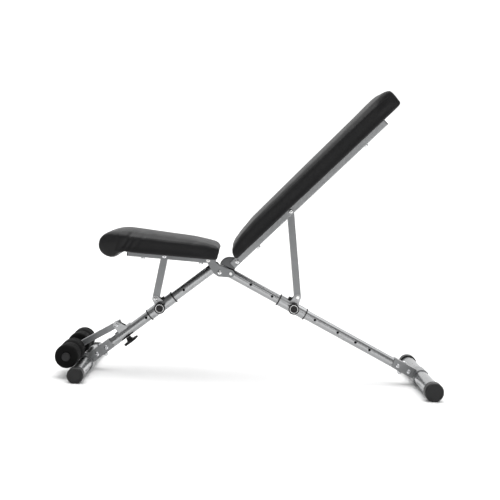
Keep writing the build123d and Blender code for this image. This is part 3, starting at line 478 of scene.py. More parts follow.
def place_piece(made: bpy.types.Object, body: str, slot: str, *nodes: str) -> None:
    """Hangs a piece on the body it rides on and hides the nodes it stands for."""
    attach(made, body)
    if nodes:
        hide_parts(*nodes)
    log.info("%s rides on %s, %d faces", made.name, body, len(made.data.polygons))


# ---- Geometry Nodes ----------------------------------------------------------------------------
class Kind(Enum):
    """What stands on a marked point of a fastener layout."""

    HEAD = 1
    NUT = 2
    SCREW = 3


class NodeTree:
    """A Geometry Nodes tree with named inputs, applied to a carrier object."""

    def __init__(self, name: str, inputs: dict[str, str]) -> None:
        """Starts the tree.

        Args:
            name: the tree's name.
            inputs: socket type by input name, after the geometry.
        """
        self.tree = bpy.data.node_groups.new(name, "GeometryNodeTree")
        face = self.tree.interface
        face.new_socket("Geometry", in_out="INPUT", socket_type="NodeSocketGeometry")
        self.keys = {key: face.new_socket(key, in_out="INPUT", socket_type=kind).identifier
                     for key, kind in inputs.items()}
        face.new_socket("Geometry", in_out="OUTPUT", socket_type="NodeSocketGeometry")
        self.start = self.tree.nodes.new("NodeGroupInput")
        self.end = self.tree.nodes.new("NodeGroupOutput")

    def node(self, kind: str, **links: object) -> bpy.types.Node:
        """Adds a node; a link is given by input name with spaces written as underscores."""
        made = self.tree.nodes.new(kind)
        for key, value in links.items():
            socket = made.inputs[key.replace("_", " ")]
            if isinstance(value, bpy.types.NodeSocket):
                self.tree.links.new(value, socket)
            else:
                socket.default_value = value
        return made

    def attribute(self, name: str, kind: str) -> bpy.types.NodeSocket:
        """A named attribute of the points."""
        made = self.tree.nodes.new("GeometryNodeInputNamedAttribute")
        made.data_type = kind
        made.inputs["Name"].default_value = name
        return made.outputs["Attribute"]

    def close(self, geometry: bpy.types.NodeSocket, material: bpy.types.NodeSocket) -> None:
        """Ends the tree in Realize Instances and Set Material."""
        real = self.node("GeometryNodeRealizeInstances", Geometry=geometry)
        dressed = self.node("GeometryNodeSetMaterial", Geometry=real.outputs[0], Material=material)
        self.tree.links.new(dressed.outputs[0], self.end.inputs["Geometry"])

    def run(self, name: str, carrier: bpy.types.Object, finish: Finish, **values: object) -> bpy.types.Object:
        """Runs the tree on a carrier.

        Args:
            name: the finished piece's name.
            carrier: the object whose mesh lays the pieces out; it is used up.
            finish: the finish the piece wears.
            **values: input values by name.

        Returns:
            The piece as a plain mesh.
        """
        modifier = carrier.modifiers.new("Layout", "NODES")
        modifier.node_group = self.tree
        modifier[self.keys["Material"]] = finish.material()
        for key, value in values.items():
            modifier[self.keys[key]] = value
        return finished_mesh(name, carrier, finish)


def fastener_tree() -> NodeTree:
    """Tree that sets heads, nuts and screw heads on the marked points of a carrier."""
    sockets = {"Head": "NodeSocketObject", "Nut": "NodeSocketObject", "Screw": "NodeSocketObject",
               "Material": "NodeSocketMaterial"}
    tree = NodeTree("Fastener layout", sockets)
    kind = tree.attribute("kind", "INT")
    size = tree.attribute("size", "FLOAT")
    axis = tree.attribute("axis", "FLOAT_VECTOR")
    aim = tree.node("FunctionNodeAlignEulerToVector", Vector=axis)
    aim.axis = "Z"
    joined = tree.tree.nodes.new("GeometryNodeJoinGeometry")
    marks = tree.node("FunctionNodeCompare")
    marks.data_type = "INT"
    marks.operation = "GREATER_THAN"
    tree.tree.links.new(kind, marks.inputs[2])
    marks.inputs[3].default_value = 0
    shanks = tree.node("GeometryNodeDeleteGeometry", Geometry=tree.start.outputs["Geometry"],
                       Selection=marks.outputs[0])
    tree.tree.links.new(shanks.outputs[0], joined.inputs[0])
    for entry, label in ((Kind.HEAD, "Head"), (Kind.NUT, "Nut"), (Kind.SCREW, "Screw")):
        match = tree.node("FunctionNodeCompare")
        match.data_type = "INT"
        match.operation = "EQUAL"
        tree.tree.links.new(kind, match.inputs[2])
        match.inputs[3].default_value = entry.value
        source = tree.node("GeometryNodeObjectInfo", Object=tree.start.outputs[label])
        spread = tree.node("GeometryNodeInstanceOnPoints", Points=tree.start.outputs["Geometry"],
                           Selection=match.outputs[0], Instance=source.outputs["Geometry"],
                           Rotation=aim.outputs["Rotation"], Scale=size)
        tree.tree.links.new(spread.outputs[0], joined.inputs[0])
    tree.close(joined.outputs[0], tree.start.outputs["Material"])
    return tree


def stitch_tree() -> NodeTree:
    """Tree that lays stitches along the edges of a carrier, at even spacing."""
    sockets = {"Spacing": "NodeSocketFloat", "Stitch": "NodeSocketObject", "Material": "NodeSocketMaterial"}
    tree = NodeTree("Stitch row", sockets)
    curve = tree.node("GeometryNodeMeshToCurve", Mesh=tree.start.outputs["Geometry"])
    points = tree.tree.nodes.new("GeometryNodeCurveToPoints")
    points.mode = "LENGTH"
    tree.tree.links.new(curve.outputs[0], points.inputs["Curve"])
    tree.tree.links.new(tree.start.outputs["Spacing"], points.inputs["Length"])
    source = tree.node("GeometryNodeObjectInfo", Object=tree.start.outputs["Stitch"])
    aim = tree.node("FunctionNodeAlignEulerToVector", Vector=points.outputs["Tangent"])
    aim.axis = "Z"
    rows = tree.node("GeometryNodeInstanceOnPoints", Points=points.outputs["Points"],
                     Instance=source.outputs["Geometry"], Rotation=aim.outputs["Rotation"])
    tree.close(rows.outputs[0], tree.start.outputs["Material"])
    return tree


# ---- fasteners ---------------------------------------------------------------------------------
@dataclass
class Fasteners:
    """Pan head bolts with crossed slots, their nuts and washers, and the pad screws."""

    head_r: float = 7.6
    head_h: float = 4.4
    shank_r: float = 3.95
    nut_r: float = 7.3
    slot: tuple[float, float] = (1.7, 8.2)
    screw_lift: float = 4.0
    tree: NodeTree = field(default_factory=fastener_tree)

    def head(self, lift: float = 0.0) -> bpy.types.Object:
        """One head with its crossed slot, standing on Z.

        Args:
            lift: height of the collar under the dome, in millimetres.

        Returns:
            The head's object.
        """
        dome = [(0.0, 0.0), (self.head_r, 0.0), (self.head_r, lift + 1.2), (self.head_r - 0.7, lift + 2.9),
                (self.head_r - 2.6, lift + 4.0), (self.head_r - 5.0, lift + self.head_h), (0.0,
                                                                                           lift + self.head_h)]
        made = piece("Head_source", *lathe(rounded(dome, 0.7, 3), Vector(), Vector((0, 0, 1)), 28),
                     FINISHES.zinc)
        for turn in (0.0, math.pi / 2):
            cutter = piece("Slot_source", *self.slot_block(turn, lift), FINISHES.zinc)
            cut = made.modifiers.new("Cut", "BOOLEAN")
            cut.operation = "DIFFERENCE"
            cut.object = cutter
            made_mesh = bpy.data.meshes.new_from_object(
                made.evaluated_get(bpy.context.evaluated_depsgraph_get()))
            made.modifiers.clear()
            made.data = made_mesh
            bpy.data.objects.remove(cutter)
        return made

    def slot_block(self, turn: float, lift: float) -> tuple[list, list]:
        """Tapered block that cuts one arm of the crossed slot."""
        half, reach = self.slot[0] / 2, self.slot[1] / 2
        verts = []
        for height, shrink in ((lift + self.head_h - 2.4, 0.55), (lift + self.head_h + 1.0, 1.0)):
            for x, y in ((-1, -1), (1, -1), (1, 1), (-1, 1)):
                spot = Vector((x * reach * shrink, y * half, 0.0))
                spot.rotate(Matrix.Rotation(turn, 3, "Z"))
                verts.append((spot + Vector((0.0, 0.0, height))) * MM)
        return verts, [[3, 2, 1, 0], [4, 5, 6, 7], [0, 1, 5, 4], [1, 2, 6, 5], [2, 3, 7, 6], [3, 0, 4, 7]]

    def nut(self) -> bpy.types.Object:
        """One hexagon nut on a washer, with the bolt's end standing out, on Z."""
        washer = lathe([(4.2, 0.0), (self.nut_r + 1.0, 0.0), (self.nut_r + 1.2, 0.3), (self.nut_r + 1.0, 1.0),
                        (4.2, 1.0)], Vector(), Vector((0, 0, 1)), 24)

        def hexagon(radius: float, height: float, angle: float) -> tuple[float, float]:
            """Pulls a circle in to a hexagon, keeping the smaller of the two."""
            fold = (angle + math.pi / 6) % (math.pi / 3) - math.pi / 6
            return min(radius, self.nut_r * math.cos(math.pi / 6) / math.cos(fold)), height

        body = lathe([(4.0, 1.0), (self.nut_r - 1.2, 1.0), (self.nut_r, 1.7), (self.nut_r, 5.3),
                      (self.nut_r - 1.2, 6.0), (4.0, 6.0)], Vector(), Vector((0, 0, 1)), 36, hexagon)
        threads = [(self.shank_r - 0.35 * (step % 2), 0.8 + 0.4 * step) for step in range(17)]
        end = lathe([*threads, (self.shank_r - 0.8, 7.9), (0.0, 7.9)], Vector(), Vector((0, 0, 1)), 20)
        return piece("Nut_source", *merge([washer, body, end]), FINISHES.zinc, smooth=False)

    def shank(self, start: Vector, end: Vector, radius: float) -> tuple[list, list]:
        """Straight shank or spacer between two points."""
        gap = end - start
        return lathe([(radius, 0.0), (radius, gap.length / MM)], start, gap.normalized(), 20)

    def build(self, name: str, body: str, bolts: list[tuple[Vector, float]], screws: list[tuple[Vector,
                                                                                                Vector]],
              spacers: list[tuple[Vector, Vector, float]], nodes: tuple[str, ...],
              upright: tuple[Vector, Vector, float] | None = None) -> None:
        """Makes one body's fasteners.

        Args:
            name: the piece's name.
            body: the body it rides on.
            bolts: each bolt's middle and the distance to its head's seat, in millimetres.
            screws: each screw head's seat and the direction its shank runs.
            spacers: start, end and radius of each spacer.
            nodes: the nodes the piece stands for.
            upright: middle, direction of the head and tube radius of a bolt that stands through a leg.
        """
        solids, marks = [], []
        if upright:
            middle, rise, radius = upright
            top, low = middle + rise * (radius + 2.1) * MM, middle - rise * (radius + 0.1) * MM
            solids.append(self.shank(low, top, self.shank_r))
            marks.extend([(top, rise, Kind.HEAD), (low, -rise, Kind.NUT)])
        for middle, grip in bolts:
            near, far = middle + NEAR * grip * MM, middle - NEAR * grip * MM
            solids.append(self.shank(near, far, self.shank_r))
            marks.append((near, NEAR, Kind.HEAD))
            marks.append((far, -NEAR, Kind.NUT))
        for seat, run in screws:
            solids.append(self.shank(seat, seat + run * 28 * MM, 2.9))
            marks.append((seat, -run, Kind.SCREW))
        solids.extend(self.shank(*spacer) for spacer in spacers)
        verts, faces = merge(solids)
        mesh = bpy.data.meshes.new(name)
        mesh.from_pydata([tuple(v) for v in verts] + [tuple(mark[0]) for mark in marks], [], faces)
        loose = len(verts)
        kinds = [0] * loose + [mark[2].value for mark in marks]
        mesh.attributes.new("kind", "INT", "POINT").data.foreach_set("value", kinds)
        mesh.attributes.new("size", "FLOAT", "POINT").data.foreach_set("value", [1.0] * len(kinds))
        axes = [0.0, 0.0, 1.0] * loose + [n for mark in marks for n in mark[1]]
        mesh.attributes.new("axis", "FLOAT_VECTOR", "POINT").data.foreach_set("vector", axes)
        carrier = bpy.data.objects.new(name + "_layout", mesh)
        bpy.context.scene.collection.objects.link(carrier)
        sources = {"Head": self.head(), "Nut": self.nut(), "Screw": self.head(self.screw_lift)}
        made = self.tree.run(name, carrier, FINISHES.zinc, **sources)
        for source in sources.values():
            bpy.data.objects.remove(source)
        place_piece(made, body, "zinc", *nodes)


# ---- pads --------------------------------------------------------------------------------------
@dataclass
class Pad:
    """An upholstered pad: a crowned shell swollen by a cloth simulation, with a sewn edge."""

    name: str
    line: SideLine
    body: str
    node: str
    outline: tuple[tuple[float, float, float], ...]
    half_width: float
    crown: float
    seat_v: float
    seam_path: tuple[tuple[float, float], ...]
    creases: tuple[tuple[float, float, float, float], ...] = ()
    edge_r: float = 8.0
    roll_end: float = -1000.0
    cap: float = 6.0
    pressure: float = 4.0
    layers: int = 33
    voxel: float = 4.4
    frames: int = 20
    fill: float = 0.8

    def shell(self) -> tuple[list, list]:
        """Closed starting shell in the pad's own frame, crowned in the middle."""
        ring = resample(list(self.outline), 6.0)
        count = len(ring)
        inward = []
        for index in range(count):
            before, after = ring[index - 1], ring[(index + 1) % count]
            run = Vector((after[0] - before[0], after[1] - before[1])).normalized()
            inward.append(Vector((-run.y, run.x)))
        verts, faces = [], []
        steps = [math.sin(math.pi / 2 * (2 * i / (self.layers - 1) - 1)) for i in range(self.layers)]
        for step in steps:
            y = step * self.half_width
            over = max(0.0, abs(y) - (self.half_width - self.edge_r)) / self.edge_r
            inset = self.edge_r * (1 - math.sqrt(max(0.0, 1 - over * over)))
            lift = self.crown * (1 - abs(step) ** 2.3)
            for (u, v, weight), normal in zip(ring, inward):
                verts.append(Vector((u + normal.x * inset, y, v + normal.y * inset + lift * weight)) * MM)
        for layer in range(self.layers - 1):
            for index in range(count):
                after = (index + 1) % count
                faces.append([layer * count + index, layer * count + after,
                              (layer + 1) * count + after, (layer + 1) * count + index])
        faces.append(list(range(count)))
        faces.append([(self.layers - 1) * count + index for index in range(count)][::-1])
        return verts, faces

    def swell(self, made: bpy.types.Object) -> None:
        """Remeshes the pad evenly and lets cloth pressure swell it, within the cap."""
        remesh = made.modifiers.new("Even", "REMESH")
        remesh.mode = "VOXEL"
        remesh.voxel_size = self.voxel * MM
        graph = bpy.context.evaluated_depsgraph_get()
        even = bpy.data.meshes.new_from_object(made.evaluated_get(graph))
        made.modifiers.clear()
        for vertex in even.vertices:
            vertex.co = self.line.at(vertex.co.x / MM, vertex.co.z / MM, vertex.co.y / MM)
        made.data = even
        rest = [vertex.co.copy() for vertex in even.vertices]
        cloth = made.modifiers.new("Swell", "CLOTH")
        cloth.settings.use_pressure = True
        cloth.settings.uniform_pressure_force = self.pressure
        cloth.settings.effector_weights.gravity = 0.0
        cloth.settings.quality = 5
        cloth.point_cache.frame_end = self.frames
        for step in range(1, self.frames + 1):
            bpy.context.scene.frame_set(step)
        moved = made.evaluated_get(bpy.context.evaluated_depsgraph_get()).to_mesh()
        ends = [vertex.co.copy() for vertex in moved.vertices]
        made.modifiers.clear()
        for vertex, start, end in zip(made.data.vertices, rest, ends):
            shift = end - start
            if shift.length > self.cap * MM:
                shift = shift.normalized() * self.cap * MM
            u, v, _ = self.line.locate(start)
            free = 1.0 if u < self.roll_end else min(1.0, max(0.0, (v - self.seat_v - 2.0) / 12.0))
            vertex.co = start + shift * free
        bpy.context.scene.frame_set(1)

    def relax(self, made: bpy.types.Object) -> None:
        """Evens out the remesh's steps."""
        skin = bmesh.new()
        skin.from_mesh(made.data)
        for _ in range(4):
            bmesh.ops.smooth_vert(skin, verts=skin.verts, factor=0.5, use_axis_x=True, use_axis_y=True,
                                  use_axis_z=True)
        skin.to_mesh(made.data)
        skin.free()

    def crease(self, made: bpy.types.Object) -> None:
        """Presses the soft gathers beside the roll into the pad's flanks."""
        if not self.creases:
            return
        for vertex in made.data.vertices:
            u, v, y = self.line.locate(vertex.co)
            side = min(1.0, max(0.0, (abs(y) / self.half_width - 0.55) / 0.4))
            for centre, lean, width, depth in self.creases:
                reach = (u - centre - lean * (v - self.seat_v)) / width
                if abs(reach) < 2.5:
                    press = depth * math.exp(-reach * reach) * side
                    vertex.co -= vertex.normal * press * MM

    def sew(self, made: bpy.types.Object, stitches: NodeTree) -> None:
        """Adds the seam's fold and its stitches along the pad's sewn edge.

        Args:
            made: the finished pad.
            stitches: the tree that lays the stitches.
        """
        graph = bpy.context.evaluated_depsgraph_get()
        tree = BVHTree.FromObject(made, graph)
        loops = []
        for side in (-1.0, 1.0):
            run = []
            for u, v in resample(list(self.seam_path), 4.0, closed=False):
                origin = self.line.at(u, v, side * (self.half_width + 60.0))
                hit = tree.ray_cast(origin, Vector((0.0, -side, 0.0)))
                if hit[0] is not None:
                    run.append((hit[0], hit[1]))
            loops.append(run)
        parts = [self.fold(run) for run in loops]
        fold = piece(self.name + "_seam", *merge(parts), FINISHES.cover)
        place_piece(fold, self.body, "pad_cover")
        verts, edges = [], []
        for run in loops:
            for index, (spot, normal) in enumerate(run):
                verts.append(tuple(spot + normal * 0.15 * MM - self.line.rise * 3.4 * MM))
                if index:
                    edges.append((len(verts) - 2, len(verts) - 1))
        mesh = bpy.data.meshes.new(self.name + "_row")
        mesh.from_pydata(verts, edges, [])
        row = bpy.data.objects.new(self.name + "_row", mesh)
        bpy.context.scene.collection.objects.link(row)
        bead = piece("Stitch_source", *lathe([(0.0, -1.3), (0.38, -0.9), (0.45, 0.0), (0.38, 0.9), (0.0,
                                                                                                    1.3)],
                                             Vector(), Vector((0, 0, 1)), 6), FINISHES.thread)
        thread = stitches.run(self.name + "_stitches", row, FINISHES.thread, Spacing=4.6 * MM, Stitch=bead)
        bpy.data.objects.remove(bead)
        place_piece(thread, self.body, "pad_cover")

    def fold(self, run: list[tuple[Vector, Vector]], radius: float = 1.1) -> tuple[list, list]:
        """Thin half-sunk fold of cover along a seam, tapered at both ends."""
        verts, faces, steps = [], [], 8
        for index, (spot, normal) in enumerate(run):
            before, after = run[max(0, index - 1)][0], run[min(len(run) - 1, index + 1)][0]
            along = (after - before).normalized()
            side = along.cross(normal).normalized()
            ends = min(1.0, (index + 0.2) / 3, (len(run) - 0.8 - index) / 3)
            for step in range(steps):
                angle = 2 * math.pi * step / steps
                offset = side * math.cos(angle) + normal * (math.sin(angle) - 0.35)
                verts.append(spot + offset * radius * max(0.15, ends) * MM)
        for ring in range(len(run) - 1):
            for step in range(steps):
                after = (step + 1) % steps
                faces.append([ring * steps + step, ring * steps + after,
                              (ring + 1) * steps + after, (ring + 1) * steps + step])
        faces.append(list(range(steps)))
        faces.append([(len(run) - 1) * steps + step for step in range(steps)][::-1])
        return verts, faces

    def build(self, stitches: NodeTree) -> None:
        made = piece(self.name, *self.shell(), FINISHES.cover)
        self.swell(made)
        self.relax(made)
        self.crease(made)
        made.data.polygons.foreach_set("use_smooth", [True] * len(made.data.polygons))
        made.data.materials.clear()
        made.data.materials.append(FINISHES.cover.material())
        smooth = made.modifiers.new("Smooth", "SUBSURF")
        smooth.levels = smooth.render_levels = 1
        place_piece(made, self.body, "pad_cover", self.node)
        self.sew(made, stitches)


def arc_points(centre: tuple[float, float], radius: float, start: float, end: float, steps: int,
               weight: float = 0.0) -> list[tuple[float, float, float]]:
    """Points round an arc, each with the same crown weight; angles in degrees."""
    out = []
    for step in range(steps + 1):
        angle = math.radians(start + (end - start) * step / steps)
        out.append((centre[0] + radius * math.cos(angle), centre[1] + radius * math.sin(angle), weight))
    return out


@dataclass
class Upholstery:
    """The backrest pad and the seat pad."""

    back_outline: tuple = ((13.0, 13.0, 0.0), (6.0, 20.0, 0.0), (5.0, 28.0, 0.0), (10.0, 36.5, 0.0),
                           (22.0, 43.5, 0.0), (42.0, 49.5, 0.1), (78.0, 55.0, 0.35), (138.0, 59.5, 0.6),
                           (400.0, 63.5, 0.75), (610.0, 66.0, 0.85), (670.0, 68.0, 0.85), (712.0, 72.0, 0.5),
                           (738.0, 73.0, 0.1), (743.5, 66.0, 0.0), (743.0, 42.0, 0.0), (741.0, 22.0, 0.0),
                           (731.0, 14.0, 0.0), (700.0, 13.6, 0.0))
    seat_outline: tuple = ((33.0, 14.0, 0.0), (38.5, 28.0, 0.0), (41.0, 40.0, 0.0), (35.0, 47.5, 0.1),
                           (20.0, 51.0, 0.2), (-10.0, 54.5, 0.45), (-54.0, 57.0, 0.75), (-150.0, 60.5, 0.85),
                           (-245.0, 65.0, 0.9), (-275.0, 66.5, 0.85), (-300.0, 66.0, 0.6))

    def build(self, stitches: NodeTree) -> None:
        """Makes both pads.

        Args:
            stitches: the tree that lays the stitches.
        """
        Pad("Backrest_pad", BACK_LINE, "backrest", "backrest_pad", self.back_outline[::-1], 133.0, 11.5, 13.4,
            ((28.0, 50.0), (48.0, 56.5), (80.0, 60.0), (140.0, 62.0), (400.0, 62.5), (640.0, 63.0),
             (700.0, 62.0), (722.0, 58.0)),
            creases=((660.0, 0.4, 9.0, 0.9), (60.0, -0.2, 10.0, 0.8)), fill=0.85).build(stitches)
        roll = arc_points((-318.0, 28.0), 38.0, 96.0, 294.0, 24)
        outline = [*self.seat_outline, *roll, (-288.0, 3.0, 0.0), (-272.0, 9.8, 0.0), (-150.0, 10.2, 0.0),
                   (28.0, 10.2, 0.0)]
        Pad("Seat_pad", SEAT_LINE, "seat", "seat_pad", tuple(outline), 133.0, 14.0, 9.8,
            ((-262.0, 61.5), (-150.0, 60.0), (-54.0, 57.0), (0.0, 52.5), (24.0, 46.0)),
            creases=((-284.0, 0.55, 5.5, 4.4), (-266.0, 0.5, 5.0, 3.2), (-250.0, 0.7, 6.0, 2.0),
                     (-299.0, 0.2, 4.5, 2.2)), roll_end=-288.0, fill=0.75).build(stitches)


# ---- foam rollers ------------------------------------------------------------------------------
@dataclass
class FootRollers:
    """Two foam rollers with a waist, and the plugs that hold them on the axle."""

    radius: float = 37.6
    waist: float = 31.8
    inner: float = 40.4
    outer: float = 189.6
    bore: float = 11.2

    def profile(self) -> list[tuple[float, float]]:
        """Half section of one roller from its inner to its outer face."""
        middle = (self.inner + self.outer) / 2
        swell = [(self.bore, self.inner), (self.bore + 8, self.inner), (self.radius - 5, self.inner + 0.6),
                 (self.radius - 1.2, self.inner + 4), (self.radius, self.inner + 11),
                 (self.radius, middle - 22), (self.radius - 1.2, middle - 13), (self.waist + 1.2, middle - 5),
                 (self.waist, middle)]
        mirrored = [(r, self.inner + self.outer - h) for r, h in swell[:-1]][::-1]
        return resample(rounded([*swell, *mirrored], 7.0, 5), 3.0, closed=False)

    def build(self) -> None:
        """Makes both rollers and their plugs."""
        hub = Vector(JOINTS["near_roller_spin"]["pos_m"])
        for name, body, node, side in (("Near_foam_roller", "near_roller", "near_foam_roller", -1.0),
                                       ("Far_foam_roller", "far_roller", "far_foam_roller", 1.0)):
            axis = Vector((0.0, side, 0.0))
            verts, faces = lathe(self.profile(), hub, axis, 72, self.uneven)
            count = len(self.profile())
            faces = faces[:-2]
            faces.extend([[(count - 1) * 72 + step, (count - 1) * 72 + (step + 1) % 72, (step + 1) % 72, step]
                          for step in range(72)])
            made = piece(name, verts, faces, FINISHES.foam)
            place_piece(made, body, "foam", node)
        plugs = []
        for side in (-1.0, 1.0):
            shape = rounded([(0.0, 190.3), (13.4, 190.3), (13.4, 193.2), (11.5, 194.6), (7.5, 194.9), (0.0,
                                                                                                       194.9)],
                            1.0, 3)
            plugs.append(lathe(shape, hub, Vector((0.0, side, 0.0)), 40))
        place_piece(piece("Axle_plugs", *merge(plugs), FINISHES.plastic), "roller_arm", "black_plastic",
                    "roller_axle_plugs")

    def uneven(self, radius: float, height: float, angle: float) -> tuple[float, float]:
        """Gives the cut foam its slight unevenness; the bore stays true."""
        if radius <= self.bore + 0.1:
            return radius, height
        sway = math.sin(3 * angle + height * 0.05) + 0.6 * math.sin(7 * angle - height * 0.11)
        return radius + 0.18 * sway, height


# ---- plastics ----------------------------------------------------------------------------------
@dataclass
class EndCaps:
    """Ribbed caps on the ends of a stabiliser, with a flat top and bottom."""

    name: str
    body: str
    node: str
    x: float
    z: float
    radius: float
    flat: float
    half_length: float
    length: float = 32.0
    ribs: int = 30

    def rib(self, radius: float, height: float, angle: float) -> tuple[float, float]:
        """Grooves between ribs on the skirt, and the two flats."""
        groove = 0.0
        if self.half_length - self.length + 3 < height < self.half_length - 9 and radius > self.radius - 1.5:
            groove = 0.7 * max(0.0, math.sin(self.ribs * angle))
        limit = self.flat / max(1e-6, abs(math.sin(angle)))
        return min(radius - groove, limit), height

    def build(self) -> None:
        """Makes both caps."""
        parts = []
        centre = Vector((self.x, 0.0, self.z)) * MM
        end, start = self.half_length, self.half_length - self.length
        shape = [(self.radius - 5.0, start), (self.radius - 0.8, start), (self.radius, start + 1.5),
                 (self.radius, start + 6), (self.radius, end - 14), (self.radius, end - 9), (self.radius,
                                                                                             end - 4),
                 (self.radius - 3.5, end), (self.radius - 6.0, end - 0.1), (self.radius - 7.2, end - 1.3),
                 (self.radius - 9.0, end - 1.3), (0.0, end - 1.3)]
        for side in (-1.0, 1.0):
            profile = resample(rounded(shape, 2.4, 4), 3.0, closed=False)
            verts, faces = lathe(profile, centre, Vector((0.0, side, 0.0)), 120, self.rib)
            parts.append((verts, faces))
        made = piece(self.name, *merge(parts), FINISHES.plastic)
        made.data.set_sharp_from_angle(angle=math.radians(40.0))
        place_piece(made, self.body, "black_plastic", self.node)


@dataclass
class PullKnob:
    """Pull knob with a gripped rim, a bright ring and a plain stepped boss."""

    name: str
    body: str
    radius: float = 18.4
    base: float = 29.6
    face: float = 45.4
    grips: int = 24

    def rim(self, radius: float, height: float, angle: float) -> tuple[float, float]:
        """Shallow grips round the rim."""
        if radius > self.radius - 1.0 and self.base + 2 < height < self.face - 3.5:
            return radius - 0.45 * max(0.0, math.sin(self.grips * angle)), height
        return radius, height

    def build(self, centre: Vector) -> None:
        """Makes the knob body and its ring.

        Args:
            centre: the knob's axis in the middle plane of the bench.
        """
        front = self.face
        shape = [(0.0, self.base), (10.0, self.base), (13.0, self.base + 1.0), (self.radius - 1.0,
                                                                                self.base + 3.5),
                 (self.radius, self.base + 6), (self.radius, front - 4), (self.radius - 1.6, front - 0.4),
                 (self.radius - 3.2, front - 0.6), (self.radius - 3.8, front - 2.6), (11.0, front - 2.6),
                 (10.5, front - 0.8), (9.2, front - 0.2), (8.0, front - 1.0), (5.4, front - 1.0),
                 (4.6, front - 0.3), (0.0, front - 0.1)]
        profile = resample(rounded(shape, 1.2, 3), 1.6, closed=False)
        body = piece(self.name, *lathe(profile, centre, NEAR, 96, self.rim), FINISHES.plastic)
        body.data.set_sharp_from_angle(angle=math.radians(38.0))
        place_piece(body, self.body, "black_plastic", self.name.lower())
        band = [(11.1, front - 2.5), (self.radius - 3.9, front - 2.5), (self.radius - 4.2, front - 1.2),
                (12.7, front - 0.7), (11.5, front - 1.2), (11.1, front - 2.4)]
        ring = piece(self.name.replace("knob", "ring"), *self.band(band, centre), FINISHES.ring)
        place_piece(ring, self.body, "knob_ring", self.name.lower().replace("pull_knob", "knob_face"))

    def band(self, section: list[tuple[float, float]], centre: Vector) -> tuple[list, list]:
        """Closed ring of the given section round the knob's axis."""
        steps = 72
        verts, faces = lathe(section, centre, NEAR, steps)
        faces = faces[:-2]
        last = (len(section) - 1) * steps
        faces.extend([[last + step, last + (step + 1) % steps, (step + 1) % steps,
                       step] for step in range(steps)])
        return verts, faces


@dataclass
class StarKnob:
    """Seven-lobed hand knob on a neck under the front leg."""

    lobes: int = 7
    radius: float = 25.4
    swell: float = 3.0
    top: float = -16.8
    neck_r: float = 9.0
    along: float = 159.0

    def lobe(self, radius: float, height: float, angle: float) -> tuple[float, float]:
        """Swells the disc into lobes; the neck stays round."""
        share = max(0.0, (radius - 12.0) / (self.radius - 12.0))
        return radius + self.swell * math.cos(self.lobes * angle) * share, height

    def build(self) -> None:
        """Makes the knob."""
        axis = -FRONT_LEG.rise
        centre = FRONT_LEG.at(self.along, 0.0)
        shape = [(4.1, 16.8), (self.neck_r, 16.8), (self.neck_r + 0.6, 24.5), (12.5, 27.6),
                 (self.radius - 4, 28.4),
                 (self.radius - 0.8, 29.6), (self.radius, 32.2), (self.radius - 0.8, 35.0),
                 (self.radius - 4, 36.6),
                 (14.0, 37.2), (12.5, 36.2), (4.1, 36.2)]
        profile = resample(rounded(shape, 1.6, 4), 1.8, closed=False)
        steps = 126
        verts, faces = lathe(profile, centre, axis, steps, self.lobe)
        faces = faces[:-2]
        last = (len(profile) - 1) * steps
        faces.extend([[last + step, last + (step + 1) % steps, (step + 1) % steps,
                       step] for step in range(steps)])
        made = piece("Star_knob", verts, faces, FINISHES.plastic)
        made.data.set_sharp_from_angle(angle=math.radians(45.0))
        place_piece(made, "star_knob", "black_plastic", "star_knob")


@dataclass
class Bumper:
    """Rubber block between the clevis ears, softly rounded and hollowed to the sleeve."""

    name: str
    body: str
    line: SideLine
    x: float
    top: float
    half: tuple[float, float] = (6.0, 12.4)
    sleeve_r: float = 19.1

    def build(self) -> None:
        """Makes the bumper."""
        verts, faces = [], []
        columns, rows = 9, 15
        for layer in range(2):
            for row in range(rows):
                y = self.half[1] * (2 * row / (rows - 1) - 1)
                for column in range(columns):
                    x = self.half[0] * (2 * column / (columns - 1) - 1)
                    floor = math.sqrt(self.sleeve_r ** 2 - y * y)
                    drop = 1.6 * (abs(x / self.half[0]) ** 6 + abs(y / self.half[1]) ** 8)
                    height = self.top - drop if layer else floor
                    verts.append(self.line.at(self.x + x, height, y))
        grid = rows * columns
        for layer in range(2):
            for row in range(rows - 1):
                for column in range(columns - 1):
                    a = layer * grid + row * columns + column
                    faces.append([a, a + 1, a + 1 + columns, a + columns])
        rim = [column for column in range(columns)]
        rim += [row * columns + columns - 1 for row in range(1, rows)]
        rim += [(rows - 1) * columns + column for column in range(columns - 2, -1, -1)]
        rim += [row * columns for row in range(rows - 2, 0, -1)]
        for index, spot in enumerate(rim):
            after = rim[(index + 1) % len(rim)]
            faces.append([spot, after, after + grid, spot + grid])
        made = piece(self.name.capitalize(), verts, faces, FINISHES.rubber)
        made.data.set_sharp_from_angle(angle=math.radians(50.0))
        place_piece(made, self.body, "bumper_rubber", self.name)


